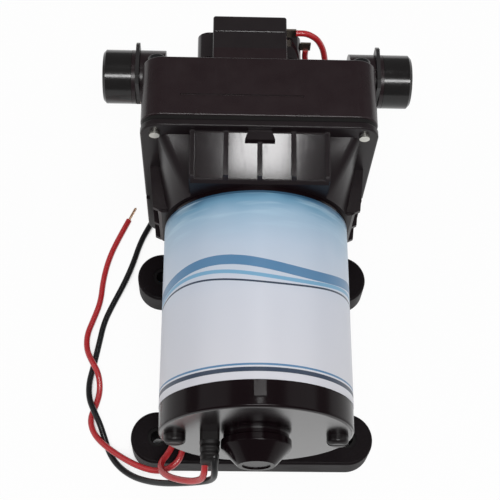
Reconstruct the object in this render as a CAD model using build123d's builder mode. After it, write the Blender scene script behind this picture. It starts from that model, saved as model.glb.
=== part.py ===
from build123d import *
from math import cos, radians, sin, sqrt, tan
import os

# A 12 V diaphragm water pump for a caravan. X is to the right, +Y runs from the motor's rear to the pump
# head, and +Z is up. The origin is the centre of the four mounting holes, on the surface it stands on.

# Driving sizes, in millimetres
motor_radius = 37.0
foot_height = 12.7
saddle_thickness = 2.0
motor_lift = 5.3
axis_height = foot_height + saddle_thickness + motor_lift + motor_radius
can_length = 77.6
can_shift = 0.2
can_rear_y = can_shift - can_length / 2
cap_length = 9.8
motor_rear_y = can_rear_y - cap_length
can_front_y = can_rear_y + can_length
skirt_length = 20.6
flange_rear_y = can_front_y + skirt_length
flange_thickness = 3.0
diaphragm_thickness = 1.8
block_depth = 26.7
block_front_y = flange_rear_y + flange_thickness + diaphragm_thickness + block_depth
front_depth = 15.3
head_front_y = block_front_y + front_depth
head_half = 46.3
hole_half_x = 39.5
foot_inset = 2.3
hole_half_y = can_length / 2 - foot_inset
foot_end_radius = 11.0
port_offset = 8.4
port_y = block_front_y + port_offset
port_rise = 18.3
port_z = axis_height + port_rise
port_reach = 17.3
port_half_span = head_half + port_reach
switch_x = -3.4
switch_rise = 15.4
switch_z = axis_height + switch_rise
overrun = 1.0
seat_clearance = 0.02
running_clearance = 0.05
loose_clearance = 0.3

# Motor
can_wall = 2.0
label_thickness = 0.15
label_margin_rear = 0.3
label_margin_front = 2.0
label_front_y = can_front_y - label_margin_front
cap_face = 2.5
spigot_depth = 4.0
spigot_wall = 1.6
boss_radius = 13.4
boss_step = 4.8
boss_length = 11.5
boss_neck_length = 1.8
boss_neck_depth = 0.9
boss_edge_round = 0.5
nose_radius = 7.1
nose_recess_radius = 5.4
nose_recess_depth = 0.5
lug_width = 4.4
lug_height = 0.8
lug_length = 6.0
shaft_radius = 4.0
bearing_radius = 11.0
bearing_width = 7.0
bolt_radius = 2.2
bolt_head_radius = 4.2
bolt_half_x = motor_radius - can_wall - bolt_head_radius
bolt_head_height = 3.4
bolt_head_round = 1.8
bolt_slot_width = 1.1
bolt_slot_depth = 1.6
magnet_thickness = 9.0
magnet_arc_angle = 120.0
air_gap = 1.2
core_radius = motor_radius - can_wall - magnet_thickness - air_gap
core_rear_inset = 21.6
core_rear_y = can_rear_y + core_rear_inset
core_front_inset = 18.0
core_front_y = can_front_y - core_front_inset
magnet_overhang = 3.0
magnet_rear_y = core_rear_y - magnet_overhang
magnet_front_y = core_front_y + magnet_overhang
slot_count = 10
slot_width = 4.2
slot_depth = 9.0
winding_inset = 4.3
winding_radius = core_radius - winding_inset
winding_inner = 9.0
winding_length = 7.5
winding_lobe_radius = 4.2
commutator_radius = 9.5
commutator_length = 13.0
commutator_inset = 7.4
commutator_rear_y = motor_rear_y + commutator_inset
commutator_cut = 0.6
card_thickness = 1.6
card_bore = 15.0
holder_wall = 0.6
brush_width = 6.0
brush_length = 9.0
brush_depth = 7.5
brush_holder_length = 15.5
brush_spring_radius = 2.0
brush_spring_wire = 0.5
cutout_size = 9.0
cutout_depth = 4.0
grommet_x = -17.55
grommet_width = 7.4
grommet_height = 11.4
grommet_proud = 3.0
grommet_corner = 1.1

# Rubber feet and saddle
mounting_hole_radius = 2.75
sleeve_wall = 1.4
sleeve_recess = 0.5
foot_edge = 1.2
saddle_half_x = 24.0
saddle_inset = 3.8
saddle_rear_y = motor_rear_y + saddle_inset
saddle_front_inset = 0.4
saddle_front_y = can_front_y - saddle_front_inset
cradle_length = 12.0
cradle_offset = 4.4
cradle_half_y = hole_half_y - cradle_offset
cradle_leg = 7.5
saddle_screw_x = 20.2
saddle_screw_radius = 1.9
saddle_screw_head = 3.6
saddle_screw_head_height = 2.4
saddle_screw_recess = 4.4
saddle_screw_bite = 6.0

# Drive housing
skirt_step = 1.2
skirt_radius = motor_radius + skirt_step
skirt_inset = 6.8
skirt_half = head_half - skirt_inset
skirt_corner = 4.0
skirt_side_angle = 18.0
skirt_top_angle = 41.0
cavity_inset = 3.5
cavity_radius = motor_radius - cavity_inset
housing_wall = 4.0
hub_radius = 14.0
panel_half = 26.4
side_panel_half = 13.2
panel_rear_lift = 1.2
panel_front_lift = 3.1
edge_round = 0.7
rib_width = 1.9
rib_rear_height = 2.1
rib_front_height = 0.8
rib_pitch = 13.0
rib_count = 5
side_rib_count = 3
tab_root_width = 9.0
tab_tip_width = 11.6
tab_length = 4.4
tab_thickness = 2.1
tab_drop = 4.3
tab_z = head_half - tab_drop
edge_notch = 1.6
edge_notch_z = -13.0
corner_radius = 8.0
head_screw_inset = 5.7
head_screw_x = head_half - head_screw_inset
head_screw_drop = 5.9
head_screw_z = head_half - head_screw_drop
head_screw_radius = 2.0
head_screw_head = 3.8
head_screw_head_height = 2.9
head_screw_proud = 1.3
recess_width = 0.9
recess_depth = 1.2

# Wobble drive
cam_radius = 7.0
cam_length = 9.0
cam_offset = 7.6
cam_rear_y = can_front_y + cam_offset
cam_tilt = 3.0
cam_gap = 0.55
cam_bearing_radius = 16.0
cam_bearing_inset = 0.3
cam_bearing_rear_y = cam_rear_y + cam_bearing_inset
cam_bearing_width = 8.4
wobble_hub_radius = 19.0
wobble_plate_radius = 22.5
wobble_lobe_radius = 8.2
wobble_plate_inset = 3.0
wobble_plate_y = flange_rear_y - wobble_plate_inset
piston_circle = 18.5
piston_radius = 9.0
piston_thickness = 3.0
piston_screw_radius = 1.5
piston_screw_head = 3.2
piston_screw_head_height = 1.8
piston_screw_length = 7.5

# Valves and upper housing
valve_plate_inset = 13.3
valve_plate_radius = head_half - valve_plate_inset
chamber_radius = 10.6
chamber_depth = 7.2
valve_plate_thickness = 9.6
inlet_hole_radius = 1.3
inlet_hole_offset = 3.2
inlet_circle = 22.5
outlet_hole_radius = 1.4
outlet_hole_circle = 10.8
flap_radius = 5.4
flap_thickness = 0.8
stem_radius = 1.2
outlet_flap_radius = 13.6
gallery_depth = 10.0
outlet_gallery_radius = 17.0
gallery_wall = 3.0
gallery_inset = 2.0
gallery_radius = valve_plate_radius - gallery_inset
seal_width = 1.8
seal_thickness = 1.0
ridge_offset = 17.7
ridge_y = block_front_y - ridge_offset
ridge_half = 24.0
ridge_x = -7.0
ridge_width = 1.2
ridge_depth = 0.6
port_radius = 11.1
port_bore = 9.0
collar_reach = 5.5
collar_end = head_half + collar_reach
front_inset = 5.3
front_half = head_half - front_inset
collar_root = 3.0
collar_start = front_half - collar_root
front_edge_rise = 35.9
front_edge_z = axis_height + front_edge_rise
front_mid_inset = 6.4
front_mid_y = head_front_y - front_mid_inset
front_mid_rise = 30.0
front_mid_z = axis_height + front_mid_rise
front_low_rise = 21.6
front_low_z = axis_height + front_low_rise
front_bottom_inset = 4.4
front_bottom_y = head_front_y - front_bottom_inset
front_toe_drop = 27.0
front_toe_z = axis_height - front_toe_drop
front_bottom_drop = 33.0
front_bottom_z = axis_height - front_bottom_drop
channel_radius = 4.8
passage_radius = 3.0
outlet_channel_x = 4.0
inlet_channel_x = -12.0
socket_inset = 5.7
socket_start = head_half - socket_inset
fitting_gap = 0.1
fitting_bore = 5.5
socket_bore = 8.0
socket_depth = 9.0
fitting_clearance = 0.08
groove_radius = 7.5
clip_reach = 3.0
clip_x = head_half + clip_reach
clip_thickness = 1.5
clip_clearance = 0.15
clip_half_width = 10.0
clip_inner = 7.7
clip_leg = 5.0
clip_top = 12.9
ring_section = 1.1
ring_inset = 1.9
ring_x = head_half - ring_inset
poppet_radius = 4.2
poppet_length = 4.0
poppet_stem = 1.6
poppet_stem_length = 5.0
poppet_x = 20.0
seat_radius = 3.0
check_spring_radius = 3.6
spring_wire = 0.7

# Pressure switch
switch_half = 15.3
switch_top = 15.6
switch_body_length = 8.0
switch_split_y = head_front_y + switch_body_length
switch_cover_length = 8.1
switch_front_y = switch_split_y + switch_cover_length
ear_cover_length = 4.1
ear_front_y = switch_split_y + ear_cover_length
seam_round = 0.5
ear_half_x = 21.7
ear_low_z = -12.5
ear_high_z = 9.0
ear_corner = 5.0
ear_screw_x = 18.3
ear_screw_z = -6.0
ear_screw_bite = 4.0
ear_screw_radius = 1.4
ear_screw_head = 2.8
ear_screw_head_height = 1.8
switch_bore = 8.5
switch_recess = 1.4
switch_diaphragm_thickness = 1.2
plunger_radius = 8.3
plunger_flange = 2.0
plunger_stem_radius = 2.2
plunger_stem_length = 4.6
switch_wall = 1.6
adjuster_radius = 3.0
adjuster_length = 5.0
adjuster_slot = 0.9
switch_spring_radius = 4.6
contact_width = 5.0
contact_thickness = 0.6
contact_pad = 3.0
pusher_radius = 1.0
pusher_offset = 6.4
terminal_width = 4.8
terminal_thickness = 0.8
terminal_inset = 2.2
terminal_out = 4.4
upper_terminal_out = 4.0
lower_terminal_rise = 3.0
lower_terminal_z = switch_z + lower_terminal_rise
upper_terminal_rise = 12.2
upper_terminal_z = switch_z + upper_terminal_rise

# Leads
lead_radius = 1.3
lead_arc_share = 0.45
conductor_radius = 0.6
conductor_length = 7.0
lane_gap = 3.7
lane_x = -30.3
lane_z = 17.5
rear_clip_y = -38.0
under_clip_place = (-0.9, 83.0, 5.0)
front_clip_x = 27.3
front_clip_y = 111.0
front_clip_z = 42.0
clip_wall = 1.2
clip_length = 3.5

# Planes that the others follow
flange_front_y = flange_rear_y + flange_thickness
diaphragm_front_y = flange_front_y + diaphragm_thickness
piston_front_y = diaphragm_front_y + piston_thickness
can_inner = motor_radius - can_wall
spigot_inner = can_inner - spigot_wall
valve_front_y = diaphragm_front_y + valve_plate_thickness
gallery_front_y = valve_front_y + gallery_depth
chamber_front_y = diaphragm_front_y + chamber_depth
boss_front_y = motor_rear_y + cap_face
boss_rear_y = motor_rear_y - boss_length
boss_ridge_y = motor_rear_y - boss_neck_length
slot_half = clip_thickness / 2 + clip_clearance
chamber_angles = (90, 210, 330)
piston_places = [
    (piston_circle * cos(radians(angle)), piston_circle * sin(radians(angle))) for angle in chamber_angles
]
screw_places = [(x * head_screw_x, z * head_screw_z) for x in (-1, 1) for z in (-1, 1)]
bolt_places = [(-bolt_half_x, 0), (bolt_half_x, 0)]
foot_places = [(x * hole_half_x, y * hole_half_y) for x in (-1, 1) for y in (-1, 1)]
saddle_screw_places = [(x * saddle_screw_x, y * cradle_half_y) for x in (-1, 1) for y in (-1, 1)]
ear_screw_places = [(x * ear_screw_x, ear_screw_z) for x in (-1, 1)]


def across(y, x=0, z=axis_height):
    """Plane facing the motor's rear at y, with its local axes along X and Z."""
    return Plane(origin=(x, y, z), x_dir=(1, 0, 0), z_dir=(0, -1, 0))


def side(x, y=port_y, z=port_z):
    """Plane facing +X at x, with its local axes along Y and Z."""
    return Plane(origin=(x, y, z), x_dir=(0, 1, 0), z_dir=(1, 0, 0))


def port_section(direction):
    """Level plane through the ports' axis, with its local X outwards on one side."""
    return Plane(origin=(0, port_y, port_z), x_dir=(direction, 0, 0), z_dir=(0, 0, 1))


def bar(start_y, end_y, radius, places=((0, 0),), mode=Mode.ADD, x=0, z=axis_height):
    """Round bars along Y at each place, in the part being made."""
    with BuildSketch(across(end_y, x, z)) as profile:
        with Locations(*places):
            Circle(radius)
    extrude(profile.sketch, amount=end_y - start_y, mode=mode)


def block(start_y, end_y, width, height, places=((0, 0),), mode=Mode.ADD, x=0, z=axis_height, corner=0):
    """Rectangular bars along Y at each place, in the part being made."""
    with BuildSketch(across(end_y, x, z)) as profile:
        with Locations(*places):
            if corner > 0:
                RectangleRounded(width, height, corner)
            else:
                Rectangle(width, height)
    extrude(profile.sketch, amount=end_y - start_y, mode=mode)


def cross_bar(start_x, end_x, radius, y=port_y, z=port_z, mode=Mode.ADD):
    """One round bar along X, in the part being made."""
    with BuildSketch(side(start_x, y, z)) as profile:
        Circle(radius)
    extrude(profile.sketch, amount=end_x - start_x, mode=mode)


# Rubber foot bars, steel sleeves and the saddle that carries the motor
feet = {}
for foot_name, foot_y in (("front_foot", hole_half_y), ("rear_foot", -hole_half_y)):
    with BuildPart() as foot:
        with BuildSketch(Plane.XY.offset(0)):
            with Locations((0, foot_y)):
                SlotCenterToCenter(2 * hole_half_x, 2 * foot_end_radius)
        extrude(amount=foot_height)
        fillet(foot.edges().group_by(Axis.Z)[-1], radius=foot_edge)
        with BuildSketch(Plane.XY):
            with Locations((-hole_half_x, foot_y), (hole_half_x, foot_y)):
                Circle(mounting_hole_radius + sleeve_wall + seat_clearance)
        extrude(amount=foot_height, mode=Mode.SUBTRACT)
        with BuildSketch(Plane.XY):
            with Locations(*[place for place in saddle_screw_places if place[1] * foot_y > 0]):
                Circle(saddle_screw_recess)
        extrude(amount=foot_height / 2, mode=Mode.SUBTRACT)
        with BuildSketch(Plane.XY):
            with Locations(*[place for place in saddle_screw_places if place[1] * foot_y > 0]):
                Circle(saddle_screw_radius + running_clearance)
        extrude(amount=foot_height, mode=Mode.SUBTRACT)
    feet[foot_name] = foot

with BuildPart() as mounting_sleeves:
    with BuildSketch(Plane.XY):
        with Locations(*foot_places):
            Circle(mounting_hole_radius + sleeve_wall)
            Circle(mounting_hole_radius, mode=Mode.SUBTRACT)
    extrude(amount=foot_height - sleeve_recess)

with BuildPart() as base_saddle:
    with BuildSketch(Plane.XY.offset(foot_height)):
        with Locations((0, (saddle_rear_y + saddle_front_y) / 2)):
            RectangleRounded(2 * saddle_half_x, saddle_front_y - saddle_rear_y, corner_radius / 2)
    extrude(amount=saddle_thickness)
    with BuildSketch(Plane.XY.offset(foot_height + saddle_thickness)):
        with Locations(*[(x * (saddle_half_x - cradle_leg / 2), y * cradle_half_y)
                         for x in (-1, 1) for y in (-1, 1)]):
            Rectangle(cradle_leg, cradle_length)
    extrude(amount=axis_height - foot_height - motor_radius / 2)
    bar(saddle_rear_y, saddle_front_y, motor_radius + seat_clearance, mode=Mode.SUBTRACT)
    with BuildSketch(Plane.XY.offset(foot_height)):
        with Locations(*saddle_screw_places):
            Circle(saddle_screw_radius)
    extrude(amount=saddle_screw_bite, mode=Mode.SUBTRACT)

with BuildPart() as saddle_screws:
    with BuildSketch(Plane.XY.offset(foot_height / 2 - saddle_screw_head_height)):
        with Locations(*saddle_screw_places):
            Circle(saddle_screw_head)
    extrude(amount=saddle_screw_head_height)
    with BuildSketch(Plane.XY.offset(foot_height / 2)):
        with Locations(*saddle_screw_places):
            Circle(saddle_screw_radius)
    extrude(amount=foot_height / 2 + saddle_screw_bite - overrun)

# Motor can, label, rear cap and bolts
label_gap_x = saddle_half_x + loose_clearance
label_gap_z = axis_height - sqrt(motor_radius**2 - label_gap_x**2) + loose_clearance
with BuildPart() as motor_can:
    bar(can_rear_y, can_front_y, motor_radius)
    bar(can_rear_y, can_front_y, can_inner, mode=Mode.SUBTRACT)

with BuildPart() as motor_label:
    bar(can_rear_y + label_margin_rear, label_front_y, motor_radius + label_thickness + seat_clearance)
    bar(can_rear_y + label_margin_rear, label_front_y, motor_radius + seat_clearance, mode=Mode.SUBTRACT)
    block(can_rear_y, can_front_y, 2 * label_gap_x, 2 * label_gap_z, z=0, mode=Mode.SUBTRACT)

with BuildPart() as rear_cap:
    bar(motor_rear_y, can_rear_y, motor_radius)
    fillet(rear_cap.edges().group_by(Axis.Y)[0], radius=cap_face / 2)
    bar(boss_front_y, can_rear_y, spigot_inner, mode=Mode.SUBTRACT)
    bar(can_rear_y, can_rear_y + spigot_depth, can_inner - seat_clearance)
    bar(can_rear_y, can_rear_y + spigot_depth, spigot_inner, mode=Mode.SUBTRACT)
    with BuildSketch(Plane(origin=(0, 0, axis_height), x_dir=(1, 0, 0), z_dir=(0, 0, 1))) as boss_profile:
        with BuildLine():
            Polyline(
                (0, boss_front_y),
                (boss_radius - boss_neck_depth, boss_front_y),
                (boss_radius - boss_neck_depth, boss_ridge_y),
                (boss_radius, boss_ridge_y),
                (boss_radius, motor_rear_y - boss_step),
                (nose_radius, boss_rear_y),
                (nose_recess_radius, boss_rear_y),
                (nose_recess_radius, boss_rear_y + nose_recess_depth),
                (0, boss_rear_y + nose_recess_depth),
                close=True,
            )
        make_face()
        fillet(boss_profile.vertices().sort_by(Axis.X)[-2:], radius=boss_edge_round)
    revolve(boss_profile.sketch, axis=Axis((0, 0, axis_height), (0, 1, 0)))
    bar(motor_rear_y - boss_step, boss_front_y, bearing_radius + seat_clearance, mode=Mode.SUBTRACT)
    bar(motor_rear_y, boss_front_y, bolt_radius + running_clearance, bolt_places, mode=Mode.SUBTRACT)
    block(motor_rear_y, boss_front_y, grommet_width + 2 * seat_clearance,
          grommet_height + 2 * seat_clearance, ((grommet_x, 0),), mode=Mode.SUBTRACT)
    block(can_rear_y - lug_length, can_rear_y, lug_width, 2 * lug_height, ((0, motor_radius),))

with BuildPart() as through_bolts:
    bar(motor_rear_y - bolt_head_height, motor_rear_y, bolt_head_radius, bolt_places)
    fillet(through_bolts.edges().group_by(Axis.Y)[0], radius=bolt_head_round)
    block(motor_rear_y - bolt_head_height, motor_rear_y - bolt_head_height + bolt_slot_depth,
          2 * bolt_head_radius, bolt_slot_width, bolt_places, mode=Mode.SUBTRACT)
    bar(motor_rear_y, can_front_y + housing_wall, bolt_radius, bolt_places)

with BuildPart() as wire_grommet:
    block(motor_rear_y - grommet_proud, boss_front_y, grommet_width, grommet_height, ((grommet_x, 0),))
    fillet(wire_grommet.edges().filter_by(Axis.Y), radius=grommet_corner)

# Bearings, magnets and brush gear
with BuildPart() as rear_bearing:
    bar(motor_rear_y - boss_step, motor_rear_y - boss_step + bearing_width, bearing_radius)
    bar(motor_rear_y - boss_step, motor_rear_y - boss_step + bearing_width, shaft_radius + running_clearance,
        mode=Mode.SUBTRACT)

with BuildPart() as front_bearing:
    bar(can_front_y, can_front_y + bearing_width, bearing_radius)
    bar(can_front_y, can_front_y + bearing_width, shaft_radius + running_clearance, mode=Mode.SUBTRACT)

with BuildPart() as field_magnets:
    with BuildSketch(across(magnet_front_y)) as magnet_profile:
        for middle in (90, 270):
            arc_start = middle - magnet_arc_angle / 2
            with BuildLine():
                outer_arc = CenterArc((0, 0), can_inner - seat_clearance, arc_start, magnet_arc_angle)
                inner_arc = CenterArc((0, 0), can_inner - magnet_thickness, arc_start, magnet_arc_angle)
                Line(outer_arc @ 0, inner_arc @ 0)
                Line(outer_arc @ 1, inner_arc @ 1)
            make_face()
    extrude(amount=magnet_front_y - magnet_rear_y)

brush_card_front_y = boss_front_y + card_thickness
holder_places = [(0, z * (commutator_radius + overrun + brush_holder_length / 2)) for z in (-1, 1)]
brush_places = [(0, z * (commutator_radius + running_clearance + brush_length / 2)) for z in (-1, 1)]
brush_spring_start = commutator_radius + running_clearance + brush_length
brush_spring_end = commutator_radius + overrun + brush_holder_length - 2 * holder_wall
brush_space = brush_width + 2 * running_clearance
holder_half = brush_space / 2 + holder_wall
holder_front_y = brush_card_front_y + brush_depth + 2 * (holder_wall + running_clearance)

with BuildPart() as brush_card:
    bar(boss_front_y, brush_card_front_y, can_inner - can_wall - loose_clearance)
    bar(boss_front_y, brush_card_front_y, card_bore, mode=Mode.SUBTRACT)
    bar(boss_front_y, brush_card_front_y, bolt_radius + running_clearance, bolt_places, mode=Mode.SUBTRACT)

with BuildPart() as brush_holders:
    block(brush_card_front_y, holder_front_y, 2 * holder_half, brush_holder_length, holder_places)
    block(brush_card_front_y + holder_wall, holder_front_y - holder_wall, brush_space,
          brush_holder_length - 2 * holder_wall,
          [(x, z - holder_wall if z > 0 else z + holder_wall) for x, z in holder_places], mode=Mode.SUBTRACT)
    block(brush_card_front_y + holder_wall, holder_front_y - holder_wall, brush_space, 2 * holder_wall,
          [(0, z * (commutator_radius + overrun)) for z in (-1, 1)], mode=Mode.SUBTRACT)

brush_rear_y = brush_card_front_y + holder_wall + running_clearance
with BuildPart() as brushes:
    block(brush_rear_y, brush_rear_y + brush_depth, brush_width, brush_length, brush_places)

with BuildPart() as brush_springs:
    for direction in (-1, 1):
        spring_z = axis_height + direction * brush_spring_start
        spring_plane = Plane(origin=(0, brush_rear_y + brush_depth / 2, spring_z), x_dir=(1, 0, 0),
                             z_dir=(0, 0, direction))
        with BuildSketch(spring_plane) as spring_profile:
            Circle(brush_spring_radius)
            Circle(brush_spring_radius - brush_spring_wire, mode=Mode.SUBTRACT)
        extrude(spring_profile.sketch, amount=brush_spring_end - brush_spring_start)

with BuildPart() as thermal_cutout:
    block(brush_card_front_y, brush_card_front_y + cutout_depth, cutout_size, cutout_size,
          ((boss_radius + cutout_size / 2, -boss_radius),))

# Rotor
rotor_rear_y = motor_rear_y - boss_step
shaft_front_y = cam_rear_y + cam_length
with BuildPart() as motor_shaft:
    bar(rotor_rear_y, shaft_front_y, shaft_radius)

with BuildPart() as armature_core:
    bar(core_rear_y, core_front_y, core_radius)
    with BuildSketch(across(core_front_y)) as slots:
        with PolarLocations(core_radius - slot_depth / 2 + overrun, slot_count):
            Rectangle(slot_depth + 2 * overrun, slot_width)
    extrude(slots.sketch, amount=core_front_y - core_rear_y, mode=Mode.SUBTRACT)
    bar(core_rear_y, core_front_y, shaft_radius, mode=Mode.SUBTRACT)

with BuildPart() as armature_windings:
    for start_y in (core_rear_y - winding_length, core_front_y):
        bar(start_y, start_y + winding_length, winding_radius - winding_lobe_radius / 2)
        with BuildSketch(across(start_y + winding_length)) as lobes:
            with PolarLocations(winding_radius - winding_lobe_radius / 2, slot_count,
                                start_angle=180 / slot_count):
                Circle(winding_lobe_radius)
        extrude(lobes.sketch, amount=winding_length)
    bar(core_rear_y - winding_length, core_front_y + winding_length, winding_inner, mode=Mode.SUBTRACT)

with BuildPart() as commutator:
    bar(commutator_rear_y, commutator_rear_y + commutator_length, commutator_radius)
    with BuildSketch(across(commutator_rear_y + commutator_length)) as cuts:
        with PolarLocations(commutator_radius, slot_count):
            Rectangle(2 * commutator_cut, commutator_cut)
    extrude(cuts.sketch, amount=commutator_length, mode=Mode.SUBTRACT)
    bar(commutator_rear_y, commutator_rear_y + commutator_length, shaft_radius, mode=Mode.SUBTRACT)

# Drive housing: a round skirt that opens to the square flange, with a funnel face to each corner and a
# ribbed panel on each side, the broad ones above and below
quarter_turns = (0, 90, 180, 270)
skirt_core = skirt_half - skirt_corner
skirt_half_angles = (skirt_side_angle, skirt_top_angle) * 2
arc_ends = [turn + way * half for turn, half in zip(quarter_turns, skirt_half_angles) for way in (-1, 1)]
with BuildPart() as drive_housing:
    with BuildSketch(across(can_front_y)) as skirt_round:
        with BuildLine():
            for start, end in zip(arc_ends, arc_ends[1:] + [360 - skirt_side_angle]):
                CenterArc((0, 0), skirt_radius, start, end - start)
        make_face()
    with BuildSketch(across(flange_rear_y)) as skirt_square:
        with BuildLine():
            corners = [
                CenterArc((x * skirt_core, z * skirt_core), skirt_corner, turn, 90)
                for (x, z), turn in zip(((1, 1), (-1, 1), (-1, -1), (1, -1)), quarter_turns)
            ]
            for before, after in zip(corners[-1:] + corners, corners):
                Line(before @ 1, after @ 0)
        make_face()
    loft([skirt_round.sketch.face(), skirt_square.sketch.face()], ruled=True)
    for turn, half, count in zip(quarter_turns, (panel_half, side_panel_half) * 2, (rib_count, side_rib_count) * 2):
        panel_shape = [
            (can_front_y, skirt_radius / 2),
            (flange_rear_y, skirt_radius / 2),
            (flange_rear_y, skirt_half + panel_front_lift),
            (can_front_y + overrun, skirt_radius + panel_rear_lift),
            (can_front_y, skirt_radius),
        ]
        rib_shape = [
            (can_front_y + overrun, skirt_radius / 2),
            (flange_rear_y, skirt_radius / 2),
            (flange_rear_y, skirt_half + panel_front_lift + rib_front_height),
            (can_front_y + 2 * overrun, skirt_radius + panel_rear_lift + rib_rear_height),
            (can_front_y + overrun, skirt_radius + panel_rear_lift),
        ]
        panel_side = Vector(cos(radians(turn)), 0, -sin(radians(turn)))
        panel_up = Vector(sin(radians(turn)), 0, cos(radians(turn)))
        motor_axis = Vector(0, 0, axis_height)
        rib_starts = [(n - count // 2) * rib_pitch - rib_width / 2 for n in range(count)]
        for shape, width, starts in ((panel_shape, 2 * half, (-half,)), (rib_shape, rib_width, rib_starts)):
            for start in starts:
                rib_plane = Plane(origin=tuple(motor_axis + panel_side * start), x_dir=(0, 1, 0),
                                  z_dir=tuple(panel_side))
                flip = -1 if rib_plane.y_dir.dot(panel_up) < 0 else 1
                with BuildSketch(rib_plane) as rib_profile:
                    Polygon(*[(y, flip * z) for y, z in shape], align=None)
                extrude(rib_profile.sketch, amount=width)
    with BuildPart() as flange:
        block(flange_rear_y, flange_front_y, 2 * head_half, 2 * head_half, corner=corner_radius)
        fillet(flange.edges().group_by(Axis.Y)[0], radius=edge_round)
        fillet(flange.edges().group_by(Axis.Y)[-1], radius=edge_round)
    with BuildSketch(Plane(origin=(0, flange_rear_y, axis_height + tab_z), x_dir=(1, 0, 0),
                           z_dir=(0, 0, 1))) as tab_profile:
        Polygon(
            (-tab_root_width / 2, flange_thickness),
            (-tab_root_width / 2, 0),
            (-tab_tip_width / 2, -tab_length),
            (tab_tip_width / 2, -tab_length),
            (tab_root_width / 2, 0),
            (tab_root_width / 2, flange_thickness),
            align=None,
        )
    extrude(tab_profile.sketch, amount=tab_thickness)
    for direction in (-1, 1):
        block(flange_rear_y, flange_front_y, 2 * edge_notch, 2 * edge_notch,
              ((direction * head_half, edge_notch_z),), mode=Mode.SUBTRACT)
    bar(can_front_y - spigot_depth, can_front_y, can_inner - seat_clearance)
    bar(can_front_y - spigot_depth, can_front_y, spigot_inner, mode=Mode.SUBTRACT)
    bar(can_front_y + housing_wall, flange_front_y, cavity_radius, mode=Mode.SUBTRACT)
    bar(can_front_y, can_front_y + bearing_width, hub_radius)
    bar(can_front_y - spigot_depth, can_front_y + bearing_width, bearing_radius + seat_clearance,
        mode=Mode.SUBTRACT)
    bar(can_front_y, can_front_y + housing_wall, bolt_radius, bolt_places, mode=Mode.SUBTRACT)
    bar(flange_rear_y - corner_radius, flange_front_y, head_screw_radius, screw_places, mode=Mode.SUBTRACT)

# Wobble drive
cam_middle_y = cam_rear_y + cam_length / 2
with BuildPart() as wobble_cam:
    cam_plane = Plane(origin=(0, cam_middle_y, axis_height), x_dir=(1, 0, 0),
                      z_dir=(0, -cos(radians(cam_tilt)), sin(radians(cam_tilt))))
    with BuildSketch(cam_plane) as cam_profile:
        Circle(cam_radius)
    extrude(cam_profile.sketch, amount=cam_length / 2, both=True)
    bar(cam_rear_y - overrun, shaft_front_y + overrun, shaft_radius, mode=Mode.SUBTRACT)

with BuildPart() as cam_bearing:
    bar(cam_bearing_rear_y, cam_bearing_rear_y + cam_bearing_width, cam_bearing_radius)
    bar(cam_bearing_rear_y, cam_bearing_rear_y + cam_bearing_width, cam_radius + cam_gap, mode=Mode.SUBTRACT)

with BuildPart() as wobble_plate:
    bar(cam_bearing_rear_y, flange_front_y - overrun, wobble_hub_radius)
    bar(wobble_plate_y, flange_front_y, wobble_lobe_radius, piston_places)
    bar(wobble_plate_y, flange_front_y - overrun, wobble_plate_radius)
    bar(cam_bearing_rear_y, cam_bearing_rear_y + cam_bearing_width, cam_bearing_radius + seat_clearance,
        mode=Mode.SUBTRACT)
    bar(cam_bearing_rear_y + cam_bearing_width, wobble_plate_y + overrun, cam_radius + 2 * cam_gap,
        mode=Mode.SUBTRACT)
    bar(piston_front_y - piston_screw_length, flange_front_y, piston_screw_radius, piston_places,
        mode=Mode.SUBTRACT)

with BuildPart() as diaphragm:
    block(flange_front_y, diaphragm_front_y, 2 * head_half - 2 * loose_clearance,
          2 * head_half - 2 * loose_clearance, corner=corner_radius)
    bar(flange_front_y, diaphragm_front_y, head_screw_radius + running_clearance, screw_places,
        mode=Mode.SUBTRACT)
    bar(flange_front_y, diaphragm_front_y, piston_screw_radius + running_clearance, piston_places,
        mode=Mode.SUBTRACT)

with BuildPart() as piston_discs:
    bar(diaphragm_front_y, piston_front_y, piston_radius, piston_places)
    fillet(piston_discs.edges().group_by(Axis.Y)[-1], radius=overrun)
    bar(diaphragm_front_y, piston_front_y, piston_screw_radius, piston_places, mode=Mode.SUBTRACT)

with BuildPart() as piston_screws:
    bar(piston_front_y, piston_front_y + piston_screw_head_height, piston_screw_head, piston_places)
    bar(piston_front_y - piston_screw_length, piston_front_y, piston_screw_radius, piston_places)

# Valves
inlet_stem_places = [
    (inlet_circle * cos(radians(angle)), inlet_circle * sin(radians(angle))) for angle in chamber_angles
]
inlet_hole_places = [
    (x + inlet_hole_offset * cos(radians(angle + turn)), z + inlet_hole_offset * sin(radians(angle + turn)))
    for (x, z), angle in zip(inlet_stem_places, chamber_angles) for turn in (-70, 0, 70)
]
outlet_hole_places = [
    (outlet_hole_circle * cos(radians(angle + offset)), outlet_hole_circle * sin(radians(angle + offset)))
    for angle in chamber_angles for offset in (-18, 18)
]
with BuildPart() as valve_plate:
    bar(diaphragm_front_y, valve_front_y, valve_plate_radius)
    bar(diaphragm_front_y, chamber_front_y, chamber_radius, piston_places, mode=Mode.SUBTRACT)
    bar(chamber_front_y, valve_front_y, stem_radius, inlet_stem_places, mode=Mode.SUBTRACT)
    bar(chamber_front_y - flap_thickness, valve_front_y, stem_radius, mode=Mode.SUBTRACT)
    bar(chamber_front_y, valve_front_y, inlet_hole_radius, inlet_hole_places, mode=Mode.SUBTRACT)
    bar(chamber_front_y, valve_front_y, outlet_hole_radius, outlet_hole_places, mode=Mode.SUBTRACT)

with BuildPart() as inlet_valves:
    bar(chamber_front_y - flap_thickness, chamber_front_y, flap_radius, inlet_stem_places)
    bar(chamber_front_y, valve_front_y + overrun, stem_radius, inlet_stem_places)

with BuildPart() as outlet_valve:
    bar(valve_front_y, valve_front_y + flap_thickness, outlet_flap_radius)
    bar(chamber_front_y, valve_front_y, stem_radius)

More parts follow.
